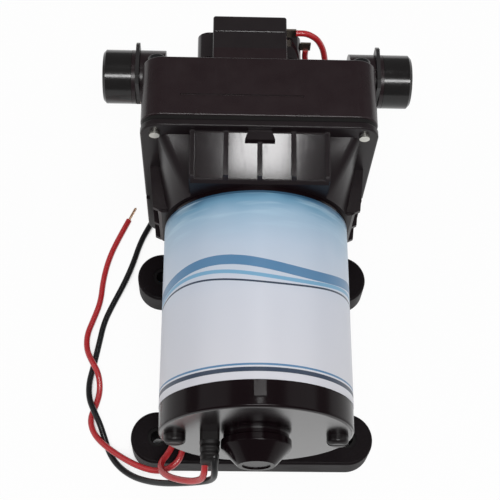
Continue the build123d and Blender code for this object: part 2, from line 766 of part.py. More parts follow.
seal_radius = outlet_gallery_radius + gallery_wall / 2
with BuildPart() as valve_seal:
    bar(valve_front_y, valve_front_y + seal_thickness, seal_radius + seal_width / 2)
    bar(valve_front_y, valve_front_y + seal_thickness, seal_radius - seal_width / 2, mode=Mode.SUBTRACT)

# Upper housing: the square block, the sloped front chamber, both port collars and the switch boss
with BuildPart() as upper_housing:
    block(diaphragm_front_y, block_front_y, 2 * head_half, 2 * head_half, corner=corner_radius)
    fillet(upper_housing.edges().group_by(Axis.Y)[0], radius=edge_round)
    fillet(upper_housing.edges().group_by(Axis.Y)[-1], radius=edge_round)
    with BuildSketch(side(-front_half, 0, 0)) as front_profile:
        Polygon(
            (block_front_y, axis_height - head_screw_z + head_screw_head + overrun),
            (block_front_y, front_edge_z),
            (front_mid_y, front_mid_z),
            (head_front_y, front_low_z),
            (head_front_y, front_toe_z),
            (front_bottom_y, front_bottom_z),
            align=None,
        )
    extrude(front_profile.sketch, amount=2 * front_half)
    cross_bar(collar_start, collar_end, port_radius)
    cross_bar(-collar_end, -collar_start, port_radius)
    block(block_front_y, head_front_y, 2 * switch_half, 2 * switch_half, x=switch_x,
          z=switch_z + switch_top - switch_half, corner=ring_section)
    bar(diaphragm_front_y, valve_front_y, valve_plate_radius + seat_clearance, mode=Mode.SUBTRACT)
    bar(valve_front_y, gallery_front_y, gallery_radius, mode=Mode.SUBTRACT)
    bar(valve_front_y + seal_thickness, gallery_front_y, outlet_gallery_radius + gallery_wall)
    bar(valve_front_y + seal_thickness, gallery_front_y, outlet_gallery_radius, mode=Mode.SUBTRACT)
    bar(gallery_front_y, port_y, passage_radius, mode=Mode.SUBTRACT,
        places=((2 * outlet_channel_x, port_z - axis_height - 2 * passage_radius),))
    bar(gallery_front_y, port_y, passage_radius, mode=Mode.SUBTRACT,
        places=((inlet_channel_x - 2 * outlet_channel_x, port_z - axis_height),))
    cross_bar(outlet_channel_x, socket_start, channel_radius, mode=Mode.SUBTRACT)
    cross_bar(-socket_start, inlet_channel_x, channel_radius, mode=Mode.SUBTRACT)
    cross_bar(socket_start, collar_end, port_bore, mode=Mode.SUBTRACT)
    cross_bar(-collar_end, -socket_start, port_bore, mode=Mode.SUBTRACT)
    cross_bar(poppet_x - overrun, poppet_x, channel_radius)
    cross_bar(poppet_x - overrun, poppet_x, seat_radius, mode=Mode.SUBTRACT)
    for direction in (-1, 1):
        with BuildSketch(side(direction * clip_x - slot_half)) as slot_profile:
            with Locations((0, (port_radius - clip_leg - clip_clearance) / 2 + overrun / 2)):
                Rectangle(2 * (port_radius + overrun), port_radius + clip_leg + clip_clearance + overrun)
        extrude(slot_profile.sketch, amount=2 * slot_half, mode=Mode.SUBTRACT)
    bar(gallery_front_y, head_front_y, stem_radius, mode=Mode.SUBTRACT, x=switch_x,
        z=axis_height + outlet_gallery_radius - 2 * stem_radius)
    bar(head_front_y - switch_recess, head_front_y, switch_bore, mode=Mode.SUBTRACT, x=switch_x,
        z=switch_z)
    bar(head_front_y - switch_recess, head_front_y - switch_recess + seat_clearance, stem_radius,
        mode=Mode.SUBTRACT, x=switch_x, z=axis_height + outlet_gallery_radius - 2 * stem_radius)
    bar(head_front_y - ear_screw_bite, head_front_y, ear_screw_radius, ear_screw_places, mode=Mode.SUBTRACT,
        x=switch_x, z=switch_z)
    bar(diaphragm_front_y, block_front_y, head_screw_radius, screw_places, mode=Mode.SUBTRACT)
    with BuildSketch(Plane.XY.offset(axis_height + head_half - ridge_depth)) as ridge_profile:
        with Locations((ridge_x, ridge_y)):
            Rectangle(2 * ridge_half, ridge_width)
    extrude(ridge_profile.sketch, amount=2 * ridge_depth, mode=Mode.SUBTRACT)

head_screw_end_y = block_front_y + head_screw_head_height
with BuildPart() as head_screws:
    bar(block_front_y, block_front_y + head_screw_head_height, head_screw_head, screw_places)
    fillet(head_screws.edges().group_by(Axis.Y)[-1], radius=overrun)
    for width, height in ((2 * head_screw_radius, recess_width), (recess_width, 2 * head_screw_radius)):
        block(head_screw_end_y - recess_depth, head_screw_end_y, width, height, screw_places,
              mode=Mode.SUBTRACT)
    bar(flange_rear_y - head_screw_proud, block_front_y, head_screw_radius, screw_places)

# Ports: push-in fittings, their seals and the slide clips that lock them
fittings = {}
clips = {}
for port_name, direction in (("inlet", -1), ("outlet", 1)):
    def along(distance):
        """Plane at this distance out along the port, facing outwards."""
        return Plane(origin=(direction * distance, port_y, port_z), x_dir=(0, direction, 0),
                     z_dir=(direction, 0, 0))

    with BuildPart() as fitting:
        with BuildSketch(port_section(direction)) as section:
            with BuildLine():
                Polyline(
                    (socket_start + fitting_gap, fitting_bore),
                    (socket_start + fitting_gap, port_bore - fitting_clearance),
                    (ring_x - ring_section, port_bore - fitting_clearance),
                    (ring_x - ring_section, port_bore - ring_section),
                    (ring_x + ring_section, port_bore - ring_section),
                    (ring_x + ring_section, port_bore - fitting_clearance),
                    (clip_x - slot_half, port_bore - fitting_clearance),
                    (clip_x - slot_half, groove_radius),
                    (clip_x + slot_half, groove_radius),
                    (clip_x + slot_half, port_bore - fitting_clearance),
                    (collar_end + fitting_gap, port_bore - fitting_clearance),
                    (collar_end + fitting_gap, port_radius),
                    (port_half_span - ring_section, port_radius),
                    (port_half_span, port_radius - ring_section),
                    (port_half_span, socket_bore),
                    (port_half_span - socket_depth, socket_bore),
                    (port_half_span - socket_depth, fitting_bore),
                    close=True,
                )
            make_face()
        revolve(section.sketch, axis=Axis((0, port_y, port_z), (1, 0, 0)))
    fittings[port_name] = fitting

    with BuildPart() as port_clip:
        with BuildSketch(along(clip_x - clip_thickness / 2)) as clip_profile:
            with BuildLine():
                arch = CenterArc((0, 0), clip_inner, 0, 180)
                Polyline(
                    arch @ 0,
                    (clip_inner, -clip_leg),
                    (clip_half_width, -clip_leg),
                    (clip_half_width, clip_top - clip_leg / 2),
                    (clip_half_width - clip_leg / 2, clip_top),
                    (clip_leg / 2 - clip_half_width, clip_top),
                    (-clip_half_width, clip_top - clip_leg / 2),
                    (-clip_half_width, -clip_leg),
                    (-clip_inner, -clip_leg),
                    arch @ 1,
                )
            make_face()
        extrude(clip_profile.sketch, amount=clip_thickness)
    clips[port_name] = port_clip

with BuildPart() as fitting_seals:
    for direction in (-1, 1):
        with BuildSketch(port_section(direction)) as ring:
            with Locations((ring_x, port_bore - ring_section / 2 - seat_clearance)):
                Rectangle(2 * ring_section - 2 * running_clearance, ring_section - 2 * seat_clearance)
        revolve(ring.sketch, axis=Axis((0, port_y, port_z), (1, 0, 0)))

with BuildPart() as check_poppet:
    cross_bar(poppet_x, poppet_x + poppet_length, poppet_radius)
    cross_bar(poppet_x + poppet_length, poppet_x + poppet_length + poppet_stem_length, poppet_stem)

with BuildPart() as check_spring:
    cross_bar(poppet_x + poppet_length, socket_start, check_spring_radius)
    cross_bar(poppet_x + poppet_length, socket_start, check_spring_radius - spring_wire, mode=Mode.SUBTRACT)

# Pressure switch
block_middle_z = switch_z + switch_top - switch_half
ear_middle_z = switch_z + (ear_low_z + ear_high_z) / 2
ear_width = 2 * ear_half_x
ear_height = ear_high_z - ear_low_z
plunger_rear_y = head_front_y - switch_recess + switch_diaphragm_thickness
plunger_flange_y = plunger_rear_y + plunger_flange
cavity_front_y = switch_front_y - switch_wall
contact_rear_y = switch_split_y + contact_thickness + seat_clearance
contact_end_x = switch_x + switch_half - switch_wall - loose_clearance
contact_start_x = switch_x + switch_spring_radius + loose_clearance
contact_pad_x = switch_x + switch_bore + loose_clearance + contact_pad / 2

with BuildPart() as switch_diaphragm:
    bar(head_front_y - switch_recess, plunger_rear_y, switch_bore - seat_clearance, x=switch_x, z=switch_z)

with BuildPart() as switch_body:
    block(head_front_y, switch_split_y, 2 * switch_half, 2 * switch_half, x=switch_x, z=block_middle_z,
          corner=ring_section)
    fillet(switch_body.edges().group_by(Axis.Y)[-1], radius=seam_round)
    block(head_front_y, switch_split_y, ear_width, ear_height, x=switch_x, z=ear_middle_z,
          corner=ear_corner)
    bar(head_front_y, switch_split_y, switch_bore, mode=Mode.SUBTRACT, x=switch_x, z=switch_z)
    bar(head_front_y, switch_split_y, ear_screw_radius, ear_screw_places, mode=Mode.SUBTRACT,
        x=switch_x, z=switch_z)

with BuildPart() as switch_cover:
    block(switch_split_y, switch_front_y, 2 * switch_half, 2 * switch_half, x=switch_x, z=block_middle_z,
          corner=ring_section)
    fillet(switch_cover.edges().group_by(Axis.Y)[-1], radius=overrun)
    fillet(switch_cover.edges().group_by(Axis.Y)[0], radius=seam_round)
    block(switch_split_y, ear_front_y, ear_width, ear_height, x=switch_x, z=ear_middle_z, corner=ear_corner)
    block(switch_split_y, cavity_front_y, 2 * (switch_half - switch_wall), 2 * switch_bore, x=switch_x,
          z=switch_z, corner=ring_section, mode=Mode.SUBTRACT)
    bar(cavity_front_y, switch_front_y, adjuster_radius + running_clearance, mode=Mode.SUBTRACT, x=switch_x,
        z=switch_z)
    bar(switch_split_y, ear_front_y, ear_screw_radius, ear_screw_places, mode=Mode.SUBTRACT, x=switch_x,
        z=switch_z)

ear_screw_end_y = ear_front_y + ear_screw_head_height
with BuildPart() as switch_screws:
    bar(ear_front_y, ear_screw_end_y, ear_screw_head, ear_screw_places, x=switch_x, z=switch_z)
    for width, height in ((2 * ear_screw_radius, recess_width), (recess_width, 2 * ear_screw_radius)):
        block(ear_screw_end_y - recess_depth, ear_screw_end_y, width, height, ear_screw_places,
              mode=Mode.SUBTRACT, x=switch_x, z=switch_z)
    bar(head_front_y - ear_screw_bite, ear_front_y, ear_screw_radius, ear_screw_places, x=switch_x,
        z=switch_z)

with BuildPart() as switch_plunger:
    bar(plunger_rear_y, plunger_flange_y, plunger_radius, x=switch_x, z=switch_z)
    bar(plunger_flange_y, plunger_flange_y + plunger_stem_length, plunger_stem_radius, x=switch_x,
        z=switch_z)
    bar(plunger_flange_y, contact_rear_y - seat_clearance, pusher_radius, ((pusher_offset, 0),), x=switch_x,
        z=switch_z)

with BuildPart() as adjusting_screw:
    bar(switch_front_y - adjuster_length, switch_front_y, adjuster_radius, x=switch_x, z=switch_z)
    block(switch_front_y - adjuster_slot, switch_front_y, 2 * adjuster_radius, adjuster_slot, x=switch_x,
          z=switch_z, mode=Mode.SUBTRACT)

with BuildPart() as switch_spring:
    bar(plunger_flange_y, cavity_front_y, switch_spring_radius, x=switch_x, z=switch_z)
    bar(plunger_flange_y, cavity_front_y, switch_spring_radius - spring_wire, x=switch_x, z=switch_z,
        mode=Mode.SUBTRACT)

with BuildPart() as contact_arm:
    block(contact_rear_y, contact_rear_y + contact_thickness, contact_end_x - contact_start_x, contact_width,
          x=(contact_start_x + contact_end_x) / 2, z=switch_z)

with BuildPart() as fixed_contact:
    block(switch_split_y, switch_split_y + contact_thickness, contact_pad, contact_width, x=contact_pad_x,
          z=switch_z)

ear_end_x = switch_x + ear_half_x
block_end_x = switch_x + switch_half
terminal_y = switch_split_y + terminal_inset
terminal_end_x = ear_end_x + terminal_out
upper_terminal_x = block_end_x + upper_terminal_out
with BuildPart() as switch_terminals:
    for start_x, end_x, terminal_z in (
        (ear_end_x, terminal_end_x, lower_terminal_z),
        (block_end_x, upper_terminal_x, upper_terminal_z),
    ):
        with BuildSketch(side(start_x, terminal_y, terminal_z)) as blade:
            Rectangle(terminal_thickness, terminal_width)
        extrude(blade.sketch, amount=end_x - start_x)

# Leads. Each route is straight runs joined by tangent arcs.
def lead(points):
    """Sweep a round lead along points, with each arc as large as its two runs allow."""
    radii = []
    for before, corner, after in zip(points, points[1:], points[2:]):
        first = Vector(*corner) - Vector(*before)
        second = Vector(*after) - Vector(*corner)
        half_turn = radians(first.get_angle(second)) / 2
        radii.append(lead_arc_share * min(first.length, second.length) / tan(half_turn))
    with BuildPart() as piece:
        with BuildLine() as path:
            FilletPolyline(*points, radius=radii)
        with BuildSketch(Plane(origin=path.line @ 0, z_dir=path.line % 0)) as section:
            Circle(lead_radius)
        sweep(section.sketch, path=path.wires()[0])
    return piece


grommet_face_y = motor_rear_y - grommet_proud
black_points = [
    (-15.8, grommet_face_y, 60.0), (-15.8, -55.9, 60.0), (-15.7, -59.8, 57.9), (-15.5, -62.1, 54.1),
    (-15.9, -62.6, 49.2), (-17.9, -62.3, 43.6), (-23.2, -61.3, 36.8), (-29.4, -59.9, 29.6), (-35.8, -58.2, 22.0),
    (-42.4, -55.6, 14.2), (-49.0, -52.2, 7.8), (-55.0, -47.4, 3.4), (-59.6, -41.4, 1.4), (-62.2, -34.4, 2.2),
    (-64.2, -29.0, 5.2), (-67.2, -23.0, 5.2), (-69.8, -17.0, 2.6), (-70.4, -9.4, 1.3), (-68.8, -1.8, 1.3),
    (-67.0, 8.6, 1.3), (-65.4, 18.6, 1.3), (-62.0, 27.2, 1.3), (-57.4, 37.4, 1.3), (-53.6, 48.0, 1.3),
    (-51.0, 58.0, 1.3), (-47.2, 66.6, 1.3), (-43.6, 73.6, 1.3),
]
red_points = [
    (-28.4, rear_clip_y, 17.5), (-28.4, -42.9, 17.5), (-30.0, -47.4, 17.0), (-33.6, -50.4, 15.8),
    (-38.4, -51.4, 14.2), (-44.2, -49.8, 12.2), (-50.8, -46.4, 9.8), (-57.4, -41.8, 7.2), (-63.2, -37.0, 4.8),
    (-67.4, -31.6, 2.2), (-69.0, -25.4, 1.3), (-66.8, -19.8, 1.3), (-65.2, -13.4, 1.9), (-66.0, -6.4, 5.0),
    (-69.6, -0.4, 5.3), (-72.2, 5.6, 2.4), (-72.6, 12.8, 1.3), (-70.0, 20.4, 1.3), (-67.4, 28.8, 1.3),
    (-66.9, 39.2, 1.3), (-64.8, 50.2, 1.3), (-60.8, 60.6, 1.3), (-56.6, 69.8, 1.3),
]
motor_points = [
    (-19.2, grommet_face_y, 54.0), (-19.2, -55.5, 54.0), (-19.2, -59.1, 52.3), (-19.6, -61.5, 49.1),
    (-20.6, -62.2, 45.2), (-23.6, -61.9, 41.0), (-28.2, -60.4, 36.2), (-33.4, -57.8, 31.0), (-36.8, -54.2, 25.6),
    (-37.2, -49.4, 21.2), (-34.4, -45.0, 18.6), (-32.3, -40.4, 17.6), (-32.1, -30.2, 17.5), (-32.2, -14.0, 17.5),
    (-32.1, 4.0, 17.5), (-32.2, 20.0, 17.5), (-32.2, 36.0, 17.5), (-32.0, 48.0, 16.6), (-31.4, 55.4, 11.4),
    (-29.0, 62.0, 6.4), (-21.5, 69.5, 5.2), (-9.0, 79.5, 5.0), (3.6, 89.0, 5.0), (13.4, 98.6, 5.2),
    (20.8, 106.0, 7.6), (24.8, 110.0, 14.0), (25.3, 111.2, 24.0), (25.5, 111.0, 38.0), (25.5, 111.2, 47.0),
    (24.6, 112.8, 54.0), (22.2, 115.4, 61.0), (20.8, terminal_y, 67.6),
    (20.8, terminal_y, lower_terminal_z - terminal_width / 2),
]
supply_points = [
    (-28.4, rear_clip_y, 17.5), (-28.4, -26.0, 17.5), (-28.5, -10.0, 17.5), (-28.4, 8.0, 17.5),
    (-28.5, 24.0, 17.5), (-28.4, 36.0, 17.5), (-28.4, 47.8, 16.9), (-27.6, 54.2, 11.4), (-25.0, 60.2, 6.2),
    (-18.6, 66.4, 5.2), (-6.6, 76.2, 5.0), (5.8, 85.8, 5.0), (15.8, 95.4, 5.2), (24.2, 103.4, 7.4),
    (28.8, 108.9, 13.8), (29.2, 111.1, 24.0), (29.1, 111.0, 38.0), (29.2, 111.0, 50.0), (29.8, 112.0, 60.0),
    (29.6, 113.8, 68.6), (27.8, 115.4, 76.2), (24.8, 116.3, 81.6), (20.4, terminal_y, upper_terminal_z),
    (upper_terminal_x, terminal_y, upper_terminal_z),
]
black_lead = lead(black_points)
red_lead = lead(red_points)
motor_lead = lead(motor_points)
supply_lead = lead(supply_points)


def bare_end(points):
    """Bare conductor that goes on from the last point of a lead."""
    direction = Vector(*points[-1]) - Vector(*points[-2])
    with BuildPart() as piece:
        with BuildSketch(Plane(origin=points[-1], z_dir=tuple(direction))) as section:
            Circle(conductor_radius)
        extrude(section.sketch, amount=conductor_length)
    return piece


red_lead_tip = bare_end(red_points)
black_lead_tip = bare_end(black_points)

# Clips that hold the two red leads side by side
window_width = lane_gap + 2 * lead_radius + 2 * loose_clearance
window_height = 2 * lead_radius + 2 * loose_clearance
under_clip = Plane(origin=under_clip_place, x_dir=(3, -4, 0), z_dir=(-4, -3, 0))
with BuildPart() as lead_clips:
    for clip_y in (rear_clip_y, cradle_half_y - cradle_length / 3):
        clip_side = lane_x - window_width / 2 - clip_wall
        with BuildSketch(across(clip_y + clip_length, 0, lane_z)) as clip_block:
            with Locations(((clip_side - saddle_half_x) / 2, 0)):
                Rectangle(-saddle_half_x - clip_side, window_height + 2 * clip_wall)
            with Locations((lane_x, 0)):
                Rectangle(window_width, window_height, mode=Mode.SUBTRACT)
        extrude(clip_block.sketch, amount=clip_length)
    with BuildSketch(under_clip) as clip_block:
        Rectangle(window_width + 2 * clip_wall, window_height + 2 * clip_wall)
        with Locations((0, (axis_height - head_half - under_clip.origin.Z) / 2)):
            Rectangle(window_width / 2, axis_height - head_half - under_clip.origin.Z)
        Rectangle(window_width, window_height, mode=Mode.SUBTRACT)
    extrude(clip_block.sketch, amount=clip_length / 2, both=True)
    clip_front_y = front_clip_y + window_height / 2 + clip_wall
    with BuildSketch(Plane.XY.offset(front_clip_z)) as clip_block:
        with Locations((front_clip_x, (head_front_y + clip_front_y) / 2)):
            Rectangle(window_width + 2 * clip_wall, clip_front_y - head_front_y)
        with Locations((front_clip_x, front_clip_y)):
            Rectangle(window_width, window_height, mode=Mode.SUBTRACT)
    extrude(clip_block.sketch, amount=clip_length)

pieces = {
    "front_foot": feet["front_foot"],
    "rear_foot": feet["rear_foot"],
    "mounting_sleeves": mounting_sleeves,
    "base_saddle": base_saddle,
    "saddle_screws": saddle_screws,
    "motor_can": motor_can,
    "motor_label": motor_label,
    "rear_cap": rear_cap,
    "through_bolts": through_bolts,
    "wire_grommet": wire_grommet,
    "rear_bearing": rear_bearing,
    "front_bearing": front_bearing,
    "field_magnets": field_magnets,
    "brush_card": brush_card,
    "brush_holders": brush_holders,
    "brushes": brushes,
    "brush_springs": brush_springs,
    "thermal_cutout": thermal_cutout,
    "motor_shaft": motor_shaft,
    "armature_core": armature_core,
    "armature_windings": armature_windings,
    "commutator": commutator,
    "drive_housing": drive_housing,
    "wobble_cam": wobble_cam,
    "cam_bearing": cam_bearing,
    "wobble_plate": wobble_plate,
    "diaphragm": diaphragm,
    "piston_discs": piston_discs,
    "piston_screws": piston_screws,
    "valve_plate": valve_plate,
    "inlet_valves": inlet_valves,
    "outlet_valve": outlet_valve,
    "valve_seal": valve_seal,
    "upper_housing": upper_housing,
    "head_screws": head_screws,
    "inlet_fitting": fittings["inlet"],
    "outlet_fitting": fittings["outlet"],
    "inlet_clip": clips["inlet"],
    "outlet_clip": clips["outlet"],
    "fitting_seals": fitting_seals,
    "check_poppet": check_poppet,
    "check_spring": check_spring,
    "switch_diaphragm": switch_diaphragm,
    "switch_body": switch_body,
    "switch_cover": switch_cover,
    "switch_screws": switch_screws,
    "switch_plunger": switch_plunger,
    "adjusting_screw": adjusting_screw,
    "switch_spring": switch_spring,
    "contact_arm": contact_arm,
    "fixed_contact": fixed_contact,
    "switch_terminals": switch_terminals,
    "lead_clips": lead_clips,
    "black_lead": black_lead,
    "black_lead_tip": black_lead_tip,
    "red_lead": red_lead,
    "red_lead_tip": red_lead_tip,
    "motor_lead": motor_lead,
    "supply_lead": supply_lead,
}
os.makedirs("parts", exist_ok=True)
for name, piece in pieces.items():
    piece.part.label = name
    export_step(piece.part, f"parts/{name}.step")
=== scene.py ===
import bpy
import numpy as np
from mathutils import Matrix, Vector


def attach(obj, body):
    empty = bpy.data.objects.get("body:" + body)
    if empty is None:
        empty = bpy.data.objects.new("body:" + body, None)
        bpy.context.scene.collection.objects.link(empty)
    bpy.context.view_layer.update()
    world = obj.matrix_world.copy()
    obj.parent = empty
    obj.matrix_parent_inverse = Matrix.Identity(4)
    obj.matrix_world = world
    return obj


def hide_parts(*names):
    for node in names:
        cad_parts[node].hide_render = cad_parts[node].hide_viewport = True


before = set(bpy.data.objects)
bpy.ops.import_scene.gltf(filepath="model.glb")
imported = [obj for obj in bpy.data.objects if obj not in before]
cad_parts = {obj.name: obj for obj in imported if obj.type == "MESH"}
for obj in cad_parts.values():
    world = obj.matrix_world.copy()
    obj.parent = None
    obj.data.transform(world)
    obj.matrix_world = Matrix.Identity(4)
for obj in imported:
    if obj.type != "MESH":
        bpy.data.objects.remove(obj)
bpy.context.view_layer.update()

# Lengths below are in millimetres, apart from the camera's clip range and the studio's, which are in metres
mm = 0.001
scene = bpy.context.scene
scene.view_settings.view_transform = "Standard"
white = (1.0, 1.0, 1.0, 1.0)

# The camera fitted to the photograph: high behind the motor, looking towards the pump head
cameraView = {
    "place": (-16.9913, -169.0808, 479.1076),
    "right": (0.9993972, 0.00013306, 0.03471617),
    "up": (-0.01487788, 0.90515083, 0.42483011),
    "forward": (0.03136684, 0.42509052, -0.90460719),
    "lens": 82.62,
    "sensor": 36.0,
    "clip": (0.01, 20),
}


def makeCamera(spec):
    # The camera's own axes are right, up and away from what it looks at
    lensData = bpy.data.cameras.new("photoCamera")
    lensData.lens = spec["lens"]
    lensData.sensor_width = spec["sensor"]
    lensData.sensor_height = spec["sensor"]
    lensData.sensor_fit = "HORIZONTAL"
    lensData.clip_start, lensData.clip_end = spec["clip"]
    camera = bpy.data.objects.new("photoCamera", lensData)
    scene.collection.objects.link(camera)
    axes = [Vector(spec["right"]), Vector(spec["up"]), -Vector(spec["forward"])]
    turn = Matrix([[axis[row] for axis in axes] for row in range(3)]).to_4x4()
    camera.matrix_world = Matrix.Translation(Vector(spec["place"]) * mm) @ turn
    scene.camera = camera


makeCamera(cameraView)
print("camera set")

# The two free leads, from the grommet and from the rear lead clip, to their bare ends
leads = {
    "radius": 1.3,
    "stepsAlong": 10,
    "stepsAround": 6,
    "blackPoints": [
        (-15.8, -51.4, 60.0), (-15.8, -55.9, 60.0), (-15.7, -59.8, 57.9), (-15.5, -62.1, 54.1),
        (-15.9, -62.6, 49.2), (-17.9, -62.3, 43.6), (-23.2, -61.3, 36.8), (-29.4, -59.9, 29.6),
        (-35.8, -58.2, 22.0), (-42.4, -55.6, 14.2), (-49.0, -52.2, 7.8), (-55.0, -47.4, 3.4),
        (-59.6, -41.4, 1.4), (-62.2, -34.4, 2.2), (-64.2, -29.0, 5.2), (-67.2, -23.0, 5.2), (-69.8, -17.0, 2.6),
        (-70.4, -9.4, 1.3), (-68.8, -1.8, 1.3), (-67.0, 8.6, 1.3), (-65.4, 18.6, 1.3), (-62.0, 27.2, 1.3),
        (-57.4, 37.4, 1.3), (-53.6, 48.0, 1.3), (-51.0, 58.0, 1.3), (-47.2, 66.6, 1.3), (-43.6, 73.6, 1.3),
    ],
    "blackLength": 211.6,
    "redPoints": [
        (-28.4, -38.0, 17.5), (-28.4, -42.9, 17.5), (-30.0, -47.4, 17.0), (-33.6, -50.4, 15.8),
        (-38.4, -51.4, 14.2), (-44.2, -49.8, 12.2), (-50.8, -46.4, 9.8), (-57.4, -41.8, 7.2),
        (-63.2, -37.0, 4.8), (-67.4, -31.6, 2.2), (-69.0, -25.4, 1.3), (-66.8, -19.8, 1.3),
        (-65.2, -13.4, 1.9), (-66.0, -6.4, 5.0), (-69.6, -0.4, 5.3), (-72.2, 5.6, 2.4),
        (-72.6, 12.8, 1.3), (-70.0, 20.4, 1.3), (-67.4, 28.8, 1.3), (-66.9, 39.2, 1.3),
        (-64.8, 50.2, 1.3), (-60.8, 60.6, 1.3), (-56.6, 69.8, 1.3),
    ],
    "redLength": 163.9,
    "strandCount": 9,
    "strandRadius": 0.17,
    "bundleRadius": 0.42,
    "strandLength": 7.0,
    "strandTurns": 1.15,
    "splay": 0.10,
    "trims": (1.0, 0.97, 0.94, 0.91),
    "strandGrid": (22, 10),
}


def leadCurve(name, points, spec):
    # A round tube along a smooth spline that has the route's points as its control points
    data = bpy.data.curves.new(name, "CURVE")
    data.dimensions = "3D"
    spline = data.splines.new("NURBS")
    spline.points.add(len(points) - 1)
    for control, place in zip(spline.points, points):
        control.co = (place[0] * mm, place[1] * mm, place[2] * mm, 1)
        control.radius = spec["radius"] * mm  # a curve's box counts this, so the tube's size stands here
    spline.order_u = 3  # set after the points, or it stays straight
    spline.use_endpoint_u = True
    data.resolution_u = spec["stepsAlong"]
    data.bevel_depth = 1.0
    data.bevel_resolution = spec["stepsAround"]
    data.use_fill_caps = True
    piece = bpy.data.objects.new(name, data)
    scene.collection.objects.link(piece)
    return piece


def gridMesh(name, grids):
    # Each grid is rows x columns x 3 points in millimetres, closed round its columns, with a flat cap at
    # each end, and all faces point outwards
    points, faces, start = [], [], 0
    for grid in grids:
        rows, columns = grid.shape[:2]
        index = start + np.arange(rows * columns).reshape(rows, columns)
        after = np.roll(index, -1, axis=1)
        quads = np.stack([index[:-1], index[1:], after[1:], after[:-1]], axis=-1).reshape(-1, 4)
        points.append(grid.reshape(-1, 3))
        faces += quads.tolist()
        faces += [index[0].tolist(), index[-1][::-1].tolist()]
        start += rows * columns
    data = bpy.data.meshes.new(name)
    data.from_pydata((np.concatenate(points) * mm).tolist(), [], faces)
    data.shade_smooth()
    piece = bpy.data.objects.new(name, data)
    scene.collection.objects.link(piece)
    return piece


def bareStrands(name, points, spec):
    # A bundle of round strands: each one's middle turns in a helix about the lead's line, and spreads a
    # little towards the cut end; its wall is a circle square to the lead
    ends = np.array(points[-2:], float)
    along = ends[1] - ends[0]
    along /= np.linalg.norm(along)
    across = np.cross(along, (0, 0, 1))
    across /= np.linalg.norm(across)
    above = np.cross(across, along)
    rows, columns = spec["strandGrid"]
    run = np.linspace(0, 1, rows)[:, None]
    turn = np.linspace(0, 2 * np.pi, columns, endpoint=False)[None, :]
    grids = []
    for strand in range(spec["strandCount"]):
        centreRadius = spec["bundleRadius"] if strand else 0  # the first strand is the middle one
        start = strand * 2 * np.pi / (spec["strandCount"] - 1)
        trim = spec["trims"][strand % len(spec["trims"])]
        helix = start + run * spec["strandTurns"] * 2 * np.pi
        reach = centreRadius * (1 + spec["splay"] * run**3)
        side = reach * np.cos(helix) + spec["strandRadius"] * np.cos(turn)
        lift = reach * np.sin(helix) + spec["strandRadius"] * np.sin(turn)
        length = run * spec["strandLength"] * trim + 0 * turn
        grids.append(ends[1] + length[..., None] * along + side[..., None] * across + lift[..., None] * above)
    return gridMesh(name, grids)


blackLead = leadCurve("blackLead", leads["blackPoints"], leads)
redLead = leadCurve("redLead", leads["redPoints"], leads)
blackStrands = bareStrands("blackLeadStrands", leads["blackPoints"], leads)
redStrands = bareStrands("redLeadStrands", leads["redPoints"], leads)
for piece, nodeName, slotName in (
    (blackLead, "black_lead", "black_insulation"),
    (redLead, "red_lead", "red_insulation"),
    (blackStrands, "black_lead_tip", "bare_copper"),
    (redStrands, "red_lead_tip", "bare_copper"),
):
    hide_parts(nodeName)
    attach(piece, "pump")
print("leads laid")

# The soft boot that the grommet holds round the two leads where they leave it
boot = {
    "start": (-17.5, -51.2, 57.0), "reach": 7.7, "drop": 1.7,
    "halfWidth": 3.9, "halfHeight": 5.5, "taper": 0.10,
    "rings": 3, "ringDepth": 0.35,
    "roundFrom": 0.86, "endShare": 0.72,
    "squareness": 3.2,
    "grid": (49, 48),
}


def makeBoot(spec):
    # A superellipse round a centre line that drops with the square of the way out; its size narrows
    # steadily, is cut by cosine rings, and turns in by a quarter ellipse at the end
    rows, columns = spec["grid"]
    way = np.linspace(0, 1, rows)[:, None]
    turn = np.linspace(0, 2 * np.pi, columns, endpoint=False)[None, :]
    over = np.clip((way - spec["roundFrom"]) / (1 - spec["roundFrom"]), 0, 1)
    close = spec["endShare"] + (1 - spec["endShare"]) * np.sqrt(1 - over**2)
    size = (1 - spec["taper"] * way) * close
    wave = 0.5 - 0.5 * np.cos(2 * np.pi * spec["rings"] * way)
    groove = spec["ringDepth"] * wave * (way < spec["roundFrom"])
    power = 2 / spec["squareness"]
    lift = np.sign(np.cos(turn)) * np.abs(np.cos(turn))**power * (spec["halfHeight"] * size - groove)
    side = np.sign(np.sin(turn)) * np.abs(np.sin(turn))**power * (spec["halfWidth"] * size - groove)
    x, y, z = spec["start"]
    out = y - spec["reach"] * way + 0 * turn
    return gridMesh("leadBoot", [np.stack([x + side, out, z - spec["drop"] * way**2 + lift], axis=-1)])


leadBoot = makeBoot(boot)
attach(leadBoot, "pump")
print("boot made")


def newGroup(name, inputs, outputs):
    group = bpy.data.node_groups.new(name, "ShaderNodeTree")
    for label, kind, value in inputs:
        socket = group.interface.new_socket(name=label, in_out="INPUT", socket_type=kind)
        if value is not None:
            socket.default_value = value
    for label, kind in outputs:
        group.interface.new_socket(name=label, in_out="OUTPUT", socket_type=kind)
    return group, group.nodes.new("NodeGroupInput"), group.nodes.new("NodeGroupOutput")


def addNode(tree, kind, values, **settings):
    # The settings come first, since they decide the sockets; a value is a constant or the socket to join
    node = tree.nodes.new(kind)
    for label, value in settings.items():
        setattr(node, label, value)
    for key, value in values.items():
        if isinstance(value, bpy.types.NodeSocket):
            tree.links.new(value, node.inputs[key])
        else:
            node.inputs[key].default_value = value
    return node


def mathNode(tree, operation, first, second=0.0):
    return addNode(tree, "ShaderNodeMath", {0: first, 1: second}, operation=operation).outputs[0]


def rangeNode(tree, value, before, after):
    # The value's share of the way through the first range, carried over to the second, and held to its ends
    sockets = {0: value, 1: before[0], 2: before[1], 3: after[0], 4: after[1]}
    return addNode(tree, "ShaderNodeMapRange", sockets).outputs[0]


